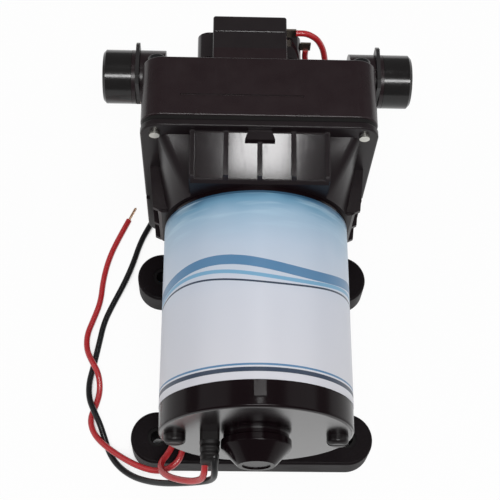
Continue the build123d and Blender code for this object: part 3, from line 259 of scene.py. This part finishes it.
def noiseNode(tree, vector, scale, detail):
    return addNode(tree, "ShaderNodeTexNoise", {"Vector": vector, "Scale": scale, "Detail": detail}).outputs[0]


def mixColour(tree, share, first, second):
    return addNode(tree, "ShaderNodeMix", {0: share, 6: first, 7: second}, data_type="RGBA").outputs[2]


def mixValue(tree, share, first, second):
    return addNode(tree, "ShaderNodeMix", {0: share, 2: first, 3: second}, data_type="FLOAT").outputs[0]


# Shared effects, each a group of texture nodes with named inputs and outputs. A "Times" value multiplies
# the group's own scale.
surfaceDetail = {
    "grain": {"coarseDetail": 3.0, "fineTimes": 4.0, "fineDetail": 2.0, "broadTimes": 0.05, "broadDetail": 2.0},
    "pebble": {"noiseDetail": 4.0, "noiseShare": 0.35, "broadTimes": 0.06, "broadDetail": 3.0},
    "dust": {"upward": (0.2, 1.0), "scale": 160.0, "detail": 6.0, "patches": (0.35, 0.75), "least": 0.3},
    "scuffs": {"turn": (0.3, 0.7, 0.5), "stretch": (1.0, 0.12, 0.5), "detail": 5.0, "kept": (0.58, 0.70)},
}


def buildGrain(spec):
    # Height from coarse and fine noise, mixed by the Fine input, and a broad noise as the mottle
    group, ins, outs = newGroup(
        "mouldedGrain",
        [("Vector", "NodeSocketVector", None), ("Scale", "NodeSocketFloat", 2000.0),
         ("Fine", "NodeSocketFloat", 0.4)],
        [("Height", "NodeSocketFloat"), ("Mottle", "NodeSocketFloat")],
    )
    vector, scale = ins.outputs[0], ins.outputs[1]
    coarse = noiseNode(group, vector, scale, spec["coarseDetail"])
    fine = noiseNode(group, vector, mathNode(group, "MULTIPLY", scale, spec["fineTimes"]), spec["fineDetail"])
    broad = noiseNode(group, vector, mathNode(group, "MULTIPLY", scale, spec["broadTimes"]), spec["broadDetail"])
    group.links.new(mixValue(group, ins.outputs[2], coarse, fine), outs.inputs[0])
    group.links.new(broad, outs.inputs[1])
    return group


def buildPebble(spec):
    # Rounded pebbles: one less the softened distance to the nearest cell's middle, with some noise mixed in
    group, ins, outs = newGroup(
        "rubberPebble",
        [("Vector", "NodeSocketVector", None), ("Scale", "NodeSocketFloat", 900.0)],
        [("Height", "NodeSocketFloat"), ("Mottle", "NodeSocketFloat")],
    )
    vector, scale = ins.outputs[0], ins.outputs[1]
    cells = addNode(group, "ShaderNodeTexVoronoi", {"Vector": vector, "Scale": scale}, feature="SMOOTH_F1")
    domes = mathNode(group, "SUBTRACT", 1.0, cells.outputs["Distance"])
    noise = noiseNode(group, vector, scale, spec["noiseDetail"])
    broad = noiseNode(group, vector, mathNode(group, "MULTIPLY", scale, spec["broadTimes"]), spec["broadDetail"])
    group.links.new(mixValue(group, spec["noiseShare"], domes, noise), outs.inputs[0])
    group.links.new(broad, outs.inputs[1])
    return group


def buildDust(spec):
    # A thin film that grows with how far the face looks up, times noise, times the Amount input
    group, ins, outs = newGroup(
        "settledDust",
        [("Vector", "NodeSocketVector", None), ("Normal", "NodeSocketVector", None),
         ("Amount", "NodeSocketFloat", 0.1)],
        [("Mask", "NodeSocketFloat")],
    )
    parts = addNode(group, "ShaderNodeSeparateXYZ", {0: ins.outputs[1]})
    lift = rangeNode(group, parts.outputs[2], spec["upward"], (0.0, 1.0))
    noise = noiseNode(group, ins.outputs[0], spec["scale"], spec["detail"])
    film = mathNode(group, "MULTIPLY", lift, rangeNode(group, noise, spec["patches"], (spec["least"], 1.0)))
    group.links.new(mathNode(group, "MULTIPLY", film, ins.outputs[2]), outs.inputs[0])
    return group


def buildScuffs(spec):
    # Short fine marks: noise stretched along one way, and kept only where it is strongest
    group, ins, outs = newGroup(
        "fineScuffs",
        [("Vector", "NodeSocketVector", None), ("Scale", "NodeSocketFloat", 300.0)],
        [("Mask", "NodeSocketFloat")],
    )
    bent = addNode(group, "ShaderNodeMapping", {"Vector": ins.outputs[0], "Rotation": spec["turn"],
                                                "Scale": spec["stretch"]}).outputs[0]
    noise = noiseNode(group, bent, ins.outputs[1], spec["detail"])
    group.links.new(rangeNode(group, noise, spec["kept"], (0.0, 1.0)), outs.inputs[0])
    return group


grainGroup = buildGrain(surfaceDetail["grain"])
pebbleGroup = buildPebble(surfaceDetail["pebble"])
dustGroup = buildDust(surfaceDetail["dust"])
scuffGroup = buildScuffs(surfaceDetail["scuffs"])


def placeGroup(tree, group, values):
    return addNode(tree, "ShaderNodeGroup", values, node_tree=group)


def startMaterial(name):
    material = bpy.data.materials.new(name)
    material.use_nodes = True
    tree = material.node_tree
    place = tree.nodes.new("ShaderNodeTexCoord").outputs["Object"]
    return material, tree, tree.nodes["Principled BSDF"], place


def joinShader(tree, shader, colour, rough, height, depth):
    # The height is a bump of the depth given in millimetres
    bump = addNode(tree, "ShaderNodeBump", {"Strength": 1.0, "Distance": depth * mm, "Height": height})
    tree.links.new(colour, shader.inputs["Base Color"])
    tree.links.new(rough, shader.inputs["Roughness"])
    tree.links.new(bump.outputs[0], shader.inputs["Normal"])


def rgba(colour):
    return (colour[0], colour[1], colour[2], 1.0)


# What all finishes share: the mottle's spread, the scuffs' scale, the dust's colour and the coat's roughness
finishBase = {"mottle": (0.25, 0.75), "scuffScale": 420.0, "dustColour": (0.42, 0.40, 0.38), "coatRough": 0.08}


def makeFinish(name, colour, tint, rough=(0.3, 0.4), grain=2000.0, depth=0.01, stretch=(1, 1, 1), metallic=0.0,
               coat=0.0, dust=0.0, scuff=0.0, pebble=False, gloss=0.5):
    # Colour runs to tint, and roughness through its range, with the mottle; scuffs and dust add roughness
    material, tree, shader, place = startMaterial(name)
    bent = addNode(tree, "ShaderNodeMapping", {"Vector": place, "Scale": stretch}).outputs[0]
    texture = placeGroup(tree, pebbleGroup if pebble else grainGroup, {"Vector": bent, "Scale": grain})
    mottle = texture.outputs["Mottle"]
    colourOut = mixColour(tree, mottle, rgba(colour), rgba(tint))
    roughOut = rangeNode(tree, mottle, finishBase["mottle"], rough)
    if scuff:
        marks = placeGroup(tree, scuffGroup, {"Vector": place, "Scale": finishBase["scuffScale"]}).outputs[0]
        roughOut = mathNode(tree, "ADD", roughOut, mathNode(tree, "MULTIPLY", marks, scuff))
    if dust:
        normal = tree.nodes.new("ShaderNodeNewGeometry").outputs["Normal"]
        mask = placeGroup(tree, dustGroup, {"Vector": place, "Normal": normal, "Amount": dust}).outputs[0]
        colourOut = mixColour(tree, mask, colourOut, rgba(finishBase["dustColour"]))
        roughOut = mathNode(tree, "ADD", roughOut, mask)
    joinShader(tree, shader, colourOut, roughOut, texture.outputs["Height"], depth)
    shader.inputs["Metallic"].default_value = metallic
    shader.inputs["Coat Weight"].default_value = coat
    shader.inputs["Coat Roughness"].default_value = finishBase["coatRough"]
    shader.inputs["Specular IOR Level"].default_value = gloss
    return material


# In each finish the grain is the texture's scale per metre, the depth is how high its bumps are, and the
# stretch multiplies the scale along X, Y and Z
finishes = {
    "stoveEnamel": dict(colour=(0.005, 0.002, 0.003), tint=(0.008, 0.004, 0.005), rough=(0.16, 0.22),
                        grain=700.0, depth=0.006, scuff=0.05, gloss=0.12),
    "blackMoulding": dict(colour=(0.008, 0.005, 0.006), tint=(0.013, 0.008, 0.010), rough=(0.07, 0.10),
                          grain=700.0, depth=0.003, scuff=0.05, dust=0.01),
    "headMoulding": dict(colour=(0.010, 0.003, 0.005), tint=(0.015, 0.006, 0.008), rough=(0.24, 0.32),
                         grain=2300.0, depth=0.006, scuff=0.06, dust=0.01, gloss=0.4),
    "portMoulding": dict(colour=(0.007, 0.006, 0.006), tint=(0.011, 0.010, 0.010), rough=(0.15, 0.20),
                         grain=2600.0, depth=0.006, scuff=0.05, gloss=0.4),
    "footRubber": dict(colour=(0.004, 0.002, 0.003), tint=(0.007, 0.004, 0.005), rough=(0.46, 0.60), grain=900.0,
                       depth=0.08, pebble=True, gloss=0.12),
    "grommetRubber": dict(colour=(0.006, 0.005, 0.005), tint=(0.012, 0.010, 0.010), rough=(0.45, 0.6),
                          grain=1800.0, depth=0.02, gloss=0.2),
    "diaphragmRubber": dict(colour=(0.005, 0.004, 0.004), tint=(0.010, 0.009, 0.009), rough=(0.55, 0.7),
                            grain=2400.0, depth=0.02, gloss=0.2),
    "boltBlack": dict(colour=(0.006, 0.004, 0.005), tint=(0.012, 0.010, 0.010), rough=(0.24, 0.36), grain=1600.0,
                      depth=0.015, scuff=0.15, gloss=0.25),
    "sleeveBlack": dict(colour=(0.006, 0.005, 0.005), tint=(0.012, 0.011, 0.011), rough=(0.5, 0.62), grain=1500.0,
                        depth=0.02, gloss=0.12),
    "zincPlate": dict(colour=(0.60, 0.60, 0.58), tint=(0.72, 0.71, 0.68), rough=(0.26, 0.40), grain=1500.0,
                      depth=0.012, metallic=1.0, scuff=0.12),
    "groundSteel": dict(colour=(0.56, 0.56, 0.57), tint=(0.68, 0.68, 0.69), rough=(0.18, 0.28), grain=900.0,
                        depth=0.006, metallic=1.0, stretch=(4, 1, 4), scuff=0.08),
    "springWire": dict(colour=(0.50, 0.50, 0.52), tint=(0.62, 0.62, 0.64), rough=(0.22, 0.32), grain=1400.0,
                       depth=0.01, metallic=1.0, stretch=(1, 5, 1)),
    "ferrite": dict(colour=(0.05, 0.05, 0.052), tint=(0.09, 0.09, 0.094), rough=(0.55, 0.7), grain=1300.0,
                    depth=0.03),
    "laminate": dict(colour=(0.30, 0.19, 0.10), tint=(0.38, 0.26, 0.14), rough=(0.5, 0.62), grain=1100.0,
                     depth=0.015, stretch=(1, 6, 1)),
    "pressedBrass": dict(colour=(0.72, 0.50, 0.20), tint=(0.82, 0.62, 0.30), rough=(0.22, 0.36), grain=1200.0,
                         depth=0.01, metallic=1.0, scuff=0.1),
    "carbon": dict(colour=(0.025, 0.025, 0.027), tint=(0.05, 0.05, 0.052), rough=(0.5, 0.65), grain=2500.0,
                   depth=0.015),
    "cutoutMoulding": dict(colour=(0.05, 0.05, 0.055), tint=(0.08, 0.08, 0.085), rough=(0.4, 0.5), grain=2200.0,
                           depth=0.01),
    "coreLaminations": dict(colour=(0.20, 0.20, 0.21), tint=(0.30, 0.30, 0.31), rough=(0.35, 0.5), grain=500.0,
                            depth=0.03, metallic=0.9, stretch=(0.3, 8, 0.3)),
    "windingWire": dict(colour=(0.50, 0.17, 0.05), tint=(0.66, 0.27, 0.09), rough=(0.25, 0.4), grain=900.0,
                        depth=0.06, metallic=0.8, stretch=(1, 6, 1), coat=0.3),
    "turnedCopper": dict(colour=(0.66, 0.33, 0.16), tint=(0.78, 0.42, 0.22), rough=(0.24, 0.36), grain=1000.0,
                         depth=0.008, metallic=1.0, stretch=(1, 6, 1)),
    "whiteMoulding": dict(colour=(0.68, 0.67, 0.62), tint=(0.76, 0.75, 0.70), rough=(0.35, 0.46), grain=1900.0,
                          depth=0.012, scuff=0.08),
    "sealRubber": dict(colour=(0.03, 0.03, 0.03), tint=(0.05, 0.05, 0.05), rough=(0.4, 0.55), grain=2500.0,
                       depth=0.01),
    "clipMoulding": dict(colour=(0.010, 0.009, 0.010), tint=(0.020, 0.018, 0.019), rough=(0.34, 0.46),
                         grain=2400.0, depth=0.012, dust=0.02),
    "tinnedBrass": dict(colour=(0.20, 0.17, 0.14), tint=(0.30, 0.26, 0.21), rough=(0.34, 0.46), grain=1300.0,
                        depth=0.01, metallic=1.0),
    "blackSheath": dict(colour=(0.006, 0.006, 0.007), tint=(0.012, 0.012, 0.013), rough=(0.28, 0.38), grain=1600.0,
                        depth=0.012, dust=0.01, gloss=0.3),
    "redSheath": dict(colour=(0.42, 0.012, 0.018), tint=(0.56, 0.028, 0.032), rough=(0.26, 0.38), grain=1600.0,
                      depth=0.012, dust=0.03, coat=0.2),
    "strandCopper": dict(colour=(0.66, 0.40, 0.26), tint=(0.80, 0.58, 0.42), rough=(0.24, 0.36), grain=2200.0,
                         depth=0.01, metallic=1.0),
}
materials = {name: makeFinish(name, **look) for name, look in finishes.items()}

# The printed film round the motor: a plain fade from water blue at the pump end to near white at the rear,
# soft streaks in the blue, a group of waves and thin border lines. Each place along it is a share of the
# film's length from its front edge. A wave is its middle, swing, phase, half width and ink, and a line is
# its middle, half width and ink.
labelPrint = {
    "frontY": 37.0, "rearY": -38.3, "axisZ": 57.0, "radius": 37.17,
    "fade": ((0.0, (0.030, 0.12, 0.23)), (0.04, (0.15, 0.33, 0.49)), (0.11, (0.34, 0.51, 0.67)),
             (0.28, (0.52, 0.62, 0.75)), (0.55, (0.66, 0.69, 0.77)), (1.0, (0.70, 0.70, 0.75))),
    "drift": {"scale": 38.0, "detail": 2.0, "reach": 0.10},
    "streaks": {"colour": (0.55, 0.74, 0.86), "stretch": (0.16, 1.3, 1.0), "scale": 260.0, "detail": 2.0,
                "kept": (0.50, 0.72), "most": 0.6, "ends": (0.02, 0.26)},
    "waveLength": 76.0,
    "waves": ((0.40, 0.030, 0.0, 0.026, (0.10, 0.24, 0.42)), (0.452, 0.026, 0.5, 0.010, (0.20, 0.42, 0.62)),
              (0.484, 0.022, 0.9, 0.005, (0.03, 0.05, 0.09))),
    "lines": ((0.004, 0.008, (0.02, 0.08, 0.15)), (0.925, 0.005, (0.10, 0.24, 0.42)),
              (0.950, 0.011, (0.03, 0.05, 0.09))),
    "grain": 900.0, "fine": 0.3, "mottle": (0.25, 0.75), "rough": (0.30, 0.42), "depth": 0.004,
}


def inkBand(tree, colour, share, middle, half, ink):
    # Ink wherever the share along the film is within the band's half width of the band's middle
    away = mathNode(tree, "ABSOLUTE", mathNode(tree, "SUBTRACT", share, middle))
    return mixColour(tree, mathNode(tree, "LESS_THAN", away, half), colour, rgba(ink))


def makeLabel(spec):
    # The way round is the angle about the can's axis times its radius, so the print lies flat on the can. A
    # wave's crest is its middle plus its swing times the sine of its phase and the turns of the way round.
    material, tree, shader, place = startMaterial("printedFilm")
    parts = addNode(tree, "ShaderNodeSeparateXYZ", {0: place})
    height = mathNode(tree, "SUBTRACT", parts.outputs[2], spec["axisZ"] * mm)
    angle = mathNode(tree, "ARCTAN2", parts.outputs[0], height)
    around = mathNode(tree, "MULTIPLY", angle, spec["radius"] * mm)
    flat = addNode(tree, "ShaderNodeCombineXYZ", {0: around, 1: parts.outputs[1], 2: 0.0}).outputs[0]
    share = rangeNode(tree, parts.outputs[1], (spec["frontY"] * mm, spec["rearY"] * mm), (0.0, 1.0))

    drift = spec["drift"]
    noise = noiseNode(tree, flat, drift["scale"], drift["detail"])
    wander = mathNode(tree, "MULTIPLY", mathNode(tree, "SUBTRACT", noise, 0.5), drift["reach"])
    ramp = addNode(tree, "ShaderNodeValToRGB", {0: mathNode(tree, "ADD", share, wander)})
    while len(ramp.color_ramp.elements) < len(spec["fade"]):
        ramp.color_ramp.elements.new(0.5)
    for element, (position, ink) in zip(ramp.color_ramp.elements, spec["fade"]):
        element.position = position
        element.color = rgba(ink)

    streaks = spec["streaks"]
    stretched = addNode(tree, "ShaderNodeMapping", {"Vector": flat, "Scale": streaks["stretch"]}).outputs[0]
    water = noiseNode(tree, stretched, streaks["scale"], streaks["detail"])
    crests = rangeNode(tree, water, streaks["kept"], (0.0, streaks["most"]))
    shown = mathNode(tree, "MULTIPLY", crests, rangeNode(tree, share, streaks["ends"], (1.0, 0.0)))
    colour = mixColour(tree, shown, ramp.outputs[0], rgba(streaks["colour"]))

    turns = mathNode(tree, "MULTIPLY", around, 2 * np.pi / (spec["waveLength"] * mm))
    for middle, swing, phase, half, ink in spec["waves"]:
        sine = mathNode(tree, "SINE", mathNode(tree, "ADD", turns, phase))
        crest = mathNode(tree, "ADD", mathNode(tree, "MULTIPLY", sine, swing), middle)
        colour = inkBand(tree, colour, share, crest, half, ink)
    for middle, half, ink in spec["lines"]:
        colour = inkBand(tree, colour, share, middle, half, ink)
    texture = placeGroup(tree, grainGroup, {"Vector": place, "Scale": spec["grain"], "Fine": spec["fine"]})
    rough = rangeNode(tree, texture.outputs["Mottle"], spec["mottle"], spec["rough"])
    joinShader(tree, shader, colour, rough, texture.outputs["Height"], spec["depth"])
    return material


materials["printedFilm"] = makeLabel(labelPrint)


def makePlaced(name, base):
    # A finish of the list under another name, with the place on it as x, y and z for masks
    material = makeFinish(name, **finishes[base])
    tree = material.node_tree
    place = tree.nodes.new("ShaderNodeTexCoord").outputs["Object"]
    parts = addNode(tree, "ShaderNodeSeparateXYZ", {0: place})
    return material, tree, tree.nodes["Principled BSDF"], parts.outputs


# The rear cap: thin black enamel, with a thicker, glossier coat on its flat rear face
capFace = {"planeY": -48.4, "tolerance": 0.4, "coat": 0.75, "coatRough": 0.20}


def makeCap(spec):
    # Coated wherever the place is within the tolerance of the face's plane
    material, tree, shader, parts = makePlaced("capEnamel", "stoveEnamel")
    away = mathNode(tree, "ABSOLUTE", mathNode(tree, "SUBTRACT", parts[1], spec["planeY"] * mm))
    face = mathNode(tree, "LESS_THAN", away, spec["tolerance"] * mm)
    tree.links.new(mathNode(tree, "MULTIPLY", face, spec["coat"]), shader.inputs["Coat Weight"])
    shader.inputs["Coat Roughness"].default_value = spec["coatRough"]
    return material


materials["capEnamel"] = makeCap(capFace)

# The lower housing: its broad panels lie between these planes and have a glossy skin, and the rest is duller
polishedPatch = {"halfX": 26.4, "rearY": 40.6, "frontY": 59.3, "rough": 0.34, "gloss": 0.26, "coat": 0.38}


def makeLower(spec):
    # Dull wherever the place is past any of the patch's planes
    material, tree, shader, parts = makePlaced("lowerHousing", "blackMoulding")
    aside = mathNode(tree, "GREATER_THAN", mathNode(tree, "ABSOLUTE", parts[0]), spec["halfX"] * mm)
    front = mathNode(tree, "GREATER_THAN", parts[1], spec["frontY"] * mm)
    rear = mathNode(tree, "LESS_THAN", parts[1], spec["rearY"] * mm)
    dull = mathNode(tree, "MAXIMUM", aside, mathNode(tree, "MAXIMUM", front, rear))
    polished = shader.inputs["Roughness"].links[0].from_socket
    tree.links.new(mixValue(tree, dull, polished, spec["rough"]), shader.inputs["Roughness"])
    tree.links.new(mixValue(tree, dull, spec["coat"], 0.0), shader.inputs["Coat Weight"])
    shader.inputs["Specular IOR Level"].default_value = spec["gloss"]
    return material


materials["lowerHousing"] = makeLower(polishedPatch)

# Screws that are black at the driven end and bright where the thread comes through the flange
tippedScrew = {
    "splitY": 80.0, "black": (0.012, 0.012, 0.013), "bright": (0.66, 0.65, 0.60),
    "blackMetal": 0.4, "brightMetal": 1.0, "grain": 1600.0, "rough": (0.24, 0.42), "depth": 0.01,
}


def makeTipped(spec):
    # Black in front of the split plane, and bright behind it
    material, tree, shader, place = startMaterial("tippedScrew")
    parts = addNode(tree, "ShaderNodeSeparateXYZ", {0: place})
    head = mathNode(tree, "GREATER_THAN", parts.outputs[1], spec["splitY"] * mm)
    texture = placeGroup(tree, grainGroup, {"Vector": place, "Scale": spec["grain"]})
    colour = mixColour(tree, head, rgba(spec["bright"]), rgba(spec["black"]))
    rough = mixValue(tree, texture.outputs["Mottle"], *spec["rough"])
    joinShader(tree, shader, colour, rough, texture.outputs["Height"], spec["depth"])
    tree.links.new(mixValue(tree, head, spec["brightMetal"], spec["blackMetal"]), shader.inputs["Metallic"])
    return material


materials["tippedScrew"] = makeTipped(tippedScrew)

nodeFinish = {
    "footRubber": ["front_foot", "rear_foot"],
    "zincPlate": ["saddle_screws", "piston_screws", "switch_screws", "adjusting_screw"],
    "tippedScrew": ["head_screws"],
    "stoveEnamel": ["base_saddle", "motor_can"],
    "capEnamel": ["rear_cap"],
    "printedFilm": ["motor_label"],
    "boltBlack": ["through_bolts"],
    "sleeveBlack": ["mounting_sleeves"],
    "grommetRubber": ["wire_grommet"],
    "groundSteel": ["rear_bearing", "front_bearing", "cam_bearing", "motor_shaft", "wobble_cam"],
    "ferrite": ["field_magnets"],
    "laminate": ["brush_card"],
    "pressedBrass": ["brush_holders", "contact_arm", "fixed_contact"],
    "carbon": ["brushes"],
    "springWire": ["brush_springs", "check_spring", "switch_spring"],
    "cutoutMoulding": ["thermal_cutout"],
    "coreLaminations": ["armature_core"],
    "windingWire": ["armature_windings"],
    "turnedCopper": ["commutator"],
    "lowerHousing": ["drive_housing"],
    "blackMoulding": ["switch_body", "switch_cover"],
    "headMoulding": ["upper_housing"],
    "portMoulding": ["inlet_fitting", "outlet_fitting"],
    "clipMoulding": ["inlet_clip", "outlet_clip", "lead_clips"],
    "diaphragmRubber": ["diaphragm", "switch_diaphragm"],
    "whiteMoulding": ["wobble_plate", "piston_discs", "valve_plate", "check_poppet", "switch_plunger"],
    "sealRubber": ["inlet_valves", "outlet_valve", "valve_seal", "fitting_seals"],
    "tinnedBrass": ["switch_terminals"],
    "redSheath": ["motor_lead", "supply_lead"],
}


def dress(piece, material):
    if not piece.material_slots:
        piece.data.materials.append(material)
    for place in piece.material_slots:
        place.material = material


for finishName, nodeNames in nodeFinish.items():
    for nodeName in nodeNames:
        dress(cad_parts[nodeName], materials[finishName])
dress(leadBoot, materials["grommetRubber"])
dress(blackLead, materials["blackSheath"])
dress(redLead, materials["redSheath"])
dress(blackStrands, materials["strandCopper"])
dress(redStrands, materials["strandCopper"])
print("materials placed")

# Pale floor and surround, and four soft lamps. The floor glows for the camera and in reflections, and the
# glow grows, over the shade range, with the share of the sky that no piece within the shade reach hides.
studio = {
    "floorSize": 4.0,
    "floorColour": (0.90, 0.90, 0.90),
    "floorRough": 0.8,
    "floorGlow": 0.95,
    "shadeReach": 0.016,
    "shadeRange": (0.16, 0.46),
    "shadeSamples": 8,
    "worldLight": 0.24,
    "lamps": (
        ("keyLamp", (0.05, -0.52, 1.20), (0.0, 0.03, 0.06), (0.62, 0.20), 8.4),
        ("overheadLamp", (0.043, 0.275, 1.08), (0.02, 0.05, 0.09), (0.074, 0.10), 0.5),
        ("sideLamp", (1.15, 0.15, 0.95), (0.0, 0.03, 0.05), (1.0, 1.0), 3.0),
        ("leftLamp", (-1.15, 0.10, 0.95), (0.0, 0.03, 0.06), (1.0, 1.0), 3.0),
    ),
}


def makeFloor(spec):
    # Matt, with the glow mixed in by the open share, and by none of it for rays that only light the object
    half = spec["floorSize"] / 2
    data = bpy.data.meshes.new("floor")
    data.from_pydata([(-half, -half, 0), (half, -half, 0), (half, half, 0), (-half, half, 0)], [], [(0, 1, 2, 3)])
    floor = bpy.data.objects.new("floor", data)
    scene.collection.objects.link(floor)
    material = bpy.data.materials.new("paleFloor")
    material.use_nodes = True
    tree = material.node_tree
    shader = tree.nodes["Principled BSDF"]
    shader.inputs["Base Color"].default_value = rgba(spec["floorColour"])
    shader.inputs["Roughness"].default_value = spec["floorRough"]
    glow = addNode(tree, "ShaderNodeEmission", {"Color": white, "Strength": 1.0})
    nearby = addNode(tree, "ShaderNodeAmbientOcclusion", {"Distance": spec["shadeReach"]},
                     samples=spec["shadeSamples"])
    lit = rangeNode(tree, nearby.outputs["AO"], spec["shadeRange"], (0.0, 1.0))
    rays = tree.nodes.new("ShaderNodeLightPath").outputs
    mirrored = mathNode(tree, "MAXIMUM", rays["Is Glossy Ray"], rays["Is Transmission Ray"])
    seen = mathNode(tree, "MAXIMUM", rays["Is Camera Ray"], mirrored)
    share = mathNode(tree, "MULTIPLY", mathNode(tree, "MULTIPLY", seen, lit), spec["floorGlow"])
    blend = addNode(tree, "ShaderNodeMixShader", {0: share, 1: shader.outputs[0], 2: glow.outputs[0]})
    tree.links.new(blend.outputs[0], tree.nodes["Material Output"].inputs["Surface"])
    floor.data.materials.append(material)


def makeSurround(spec):
    # The object is lit by plain light of the world's strength, and the camera alone sees full white
    world = bpy.data.worlds.new("paleSurround")
    scene.world = world
    world.use_nodes = True
    tree = world.node_tree
    plain = tree.nodes["Background"]
    plain.inputs["Color"].default_value = white
    plain.inputs["Strength"].default_value = spec["worldLight"]
    backdrop = addNode(tree, "ShaderNodeBackground", {"Color": white, "Strength": 1.0})
    seen = tree.nodes.new("ShaderNodeLightPath").outputs["Is Camera Ray"]
    blend = addNode(tree, "ShaderNodeMixShader", {0: seen, 1: plain.outputs[0], 2: backdrop.outputs[0]})
    tree.links.new(blend.outputs[0], tree.nodes["World Output"].inputs["Surface"])


def makeLamps(spec):
    # Each lamp is its name, place, target, width and length, and power, and it faces its target
    for name, place, target, size, power in spec["lamps"]:
        lampData = bpy.data.lights.new(name, "AREA")
        lampData.shape = "RECTANGLE"
        lampData.size, lampData.size_y = size
        lampData.energy = power
        lamp = bpy.data.objects.new(name, lampData)
        scene.collection.objects.link(lamp)
        lamp.location = place
        lamp.rotation_euler = (Vector(target) - Vector(place)).to_track_quat("-Z", "Y").to_euler()


makeFloor(studio)
makeSurround(studio)
makeLamps(studio)
print("studio lit")
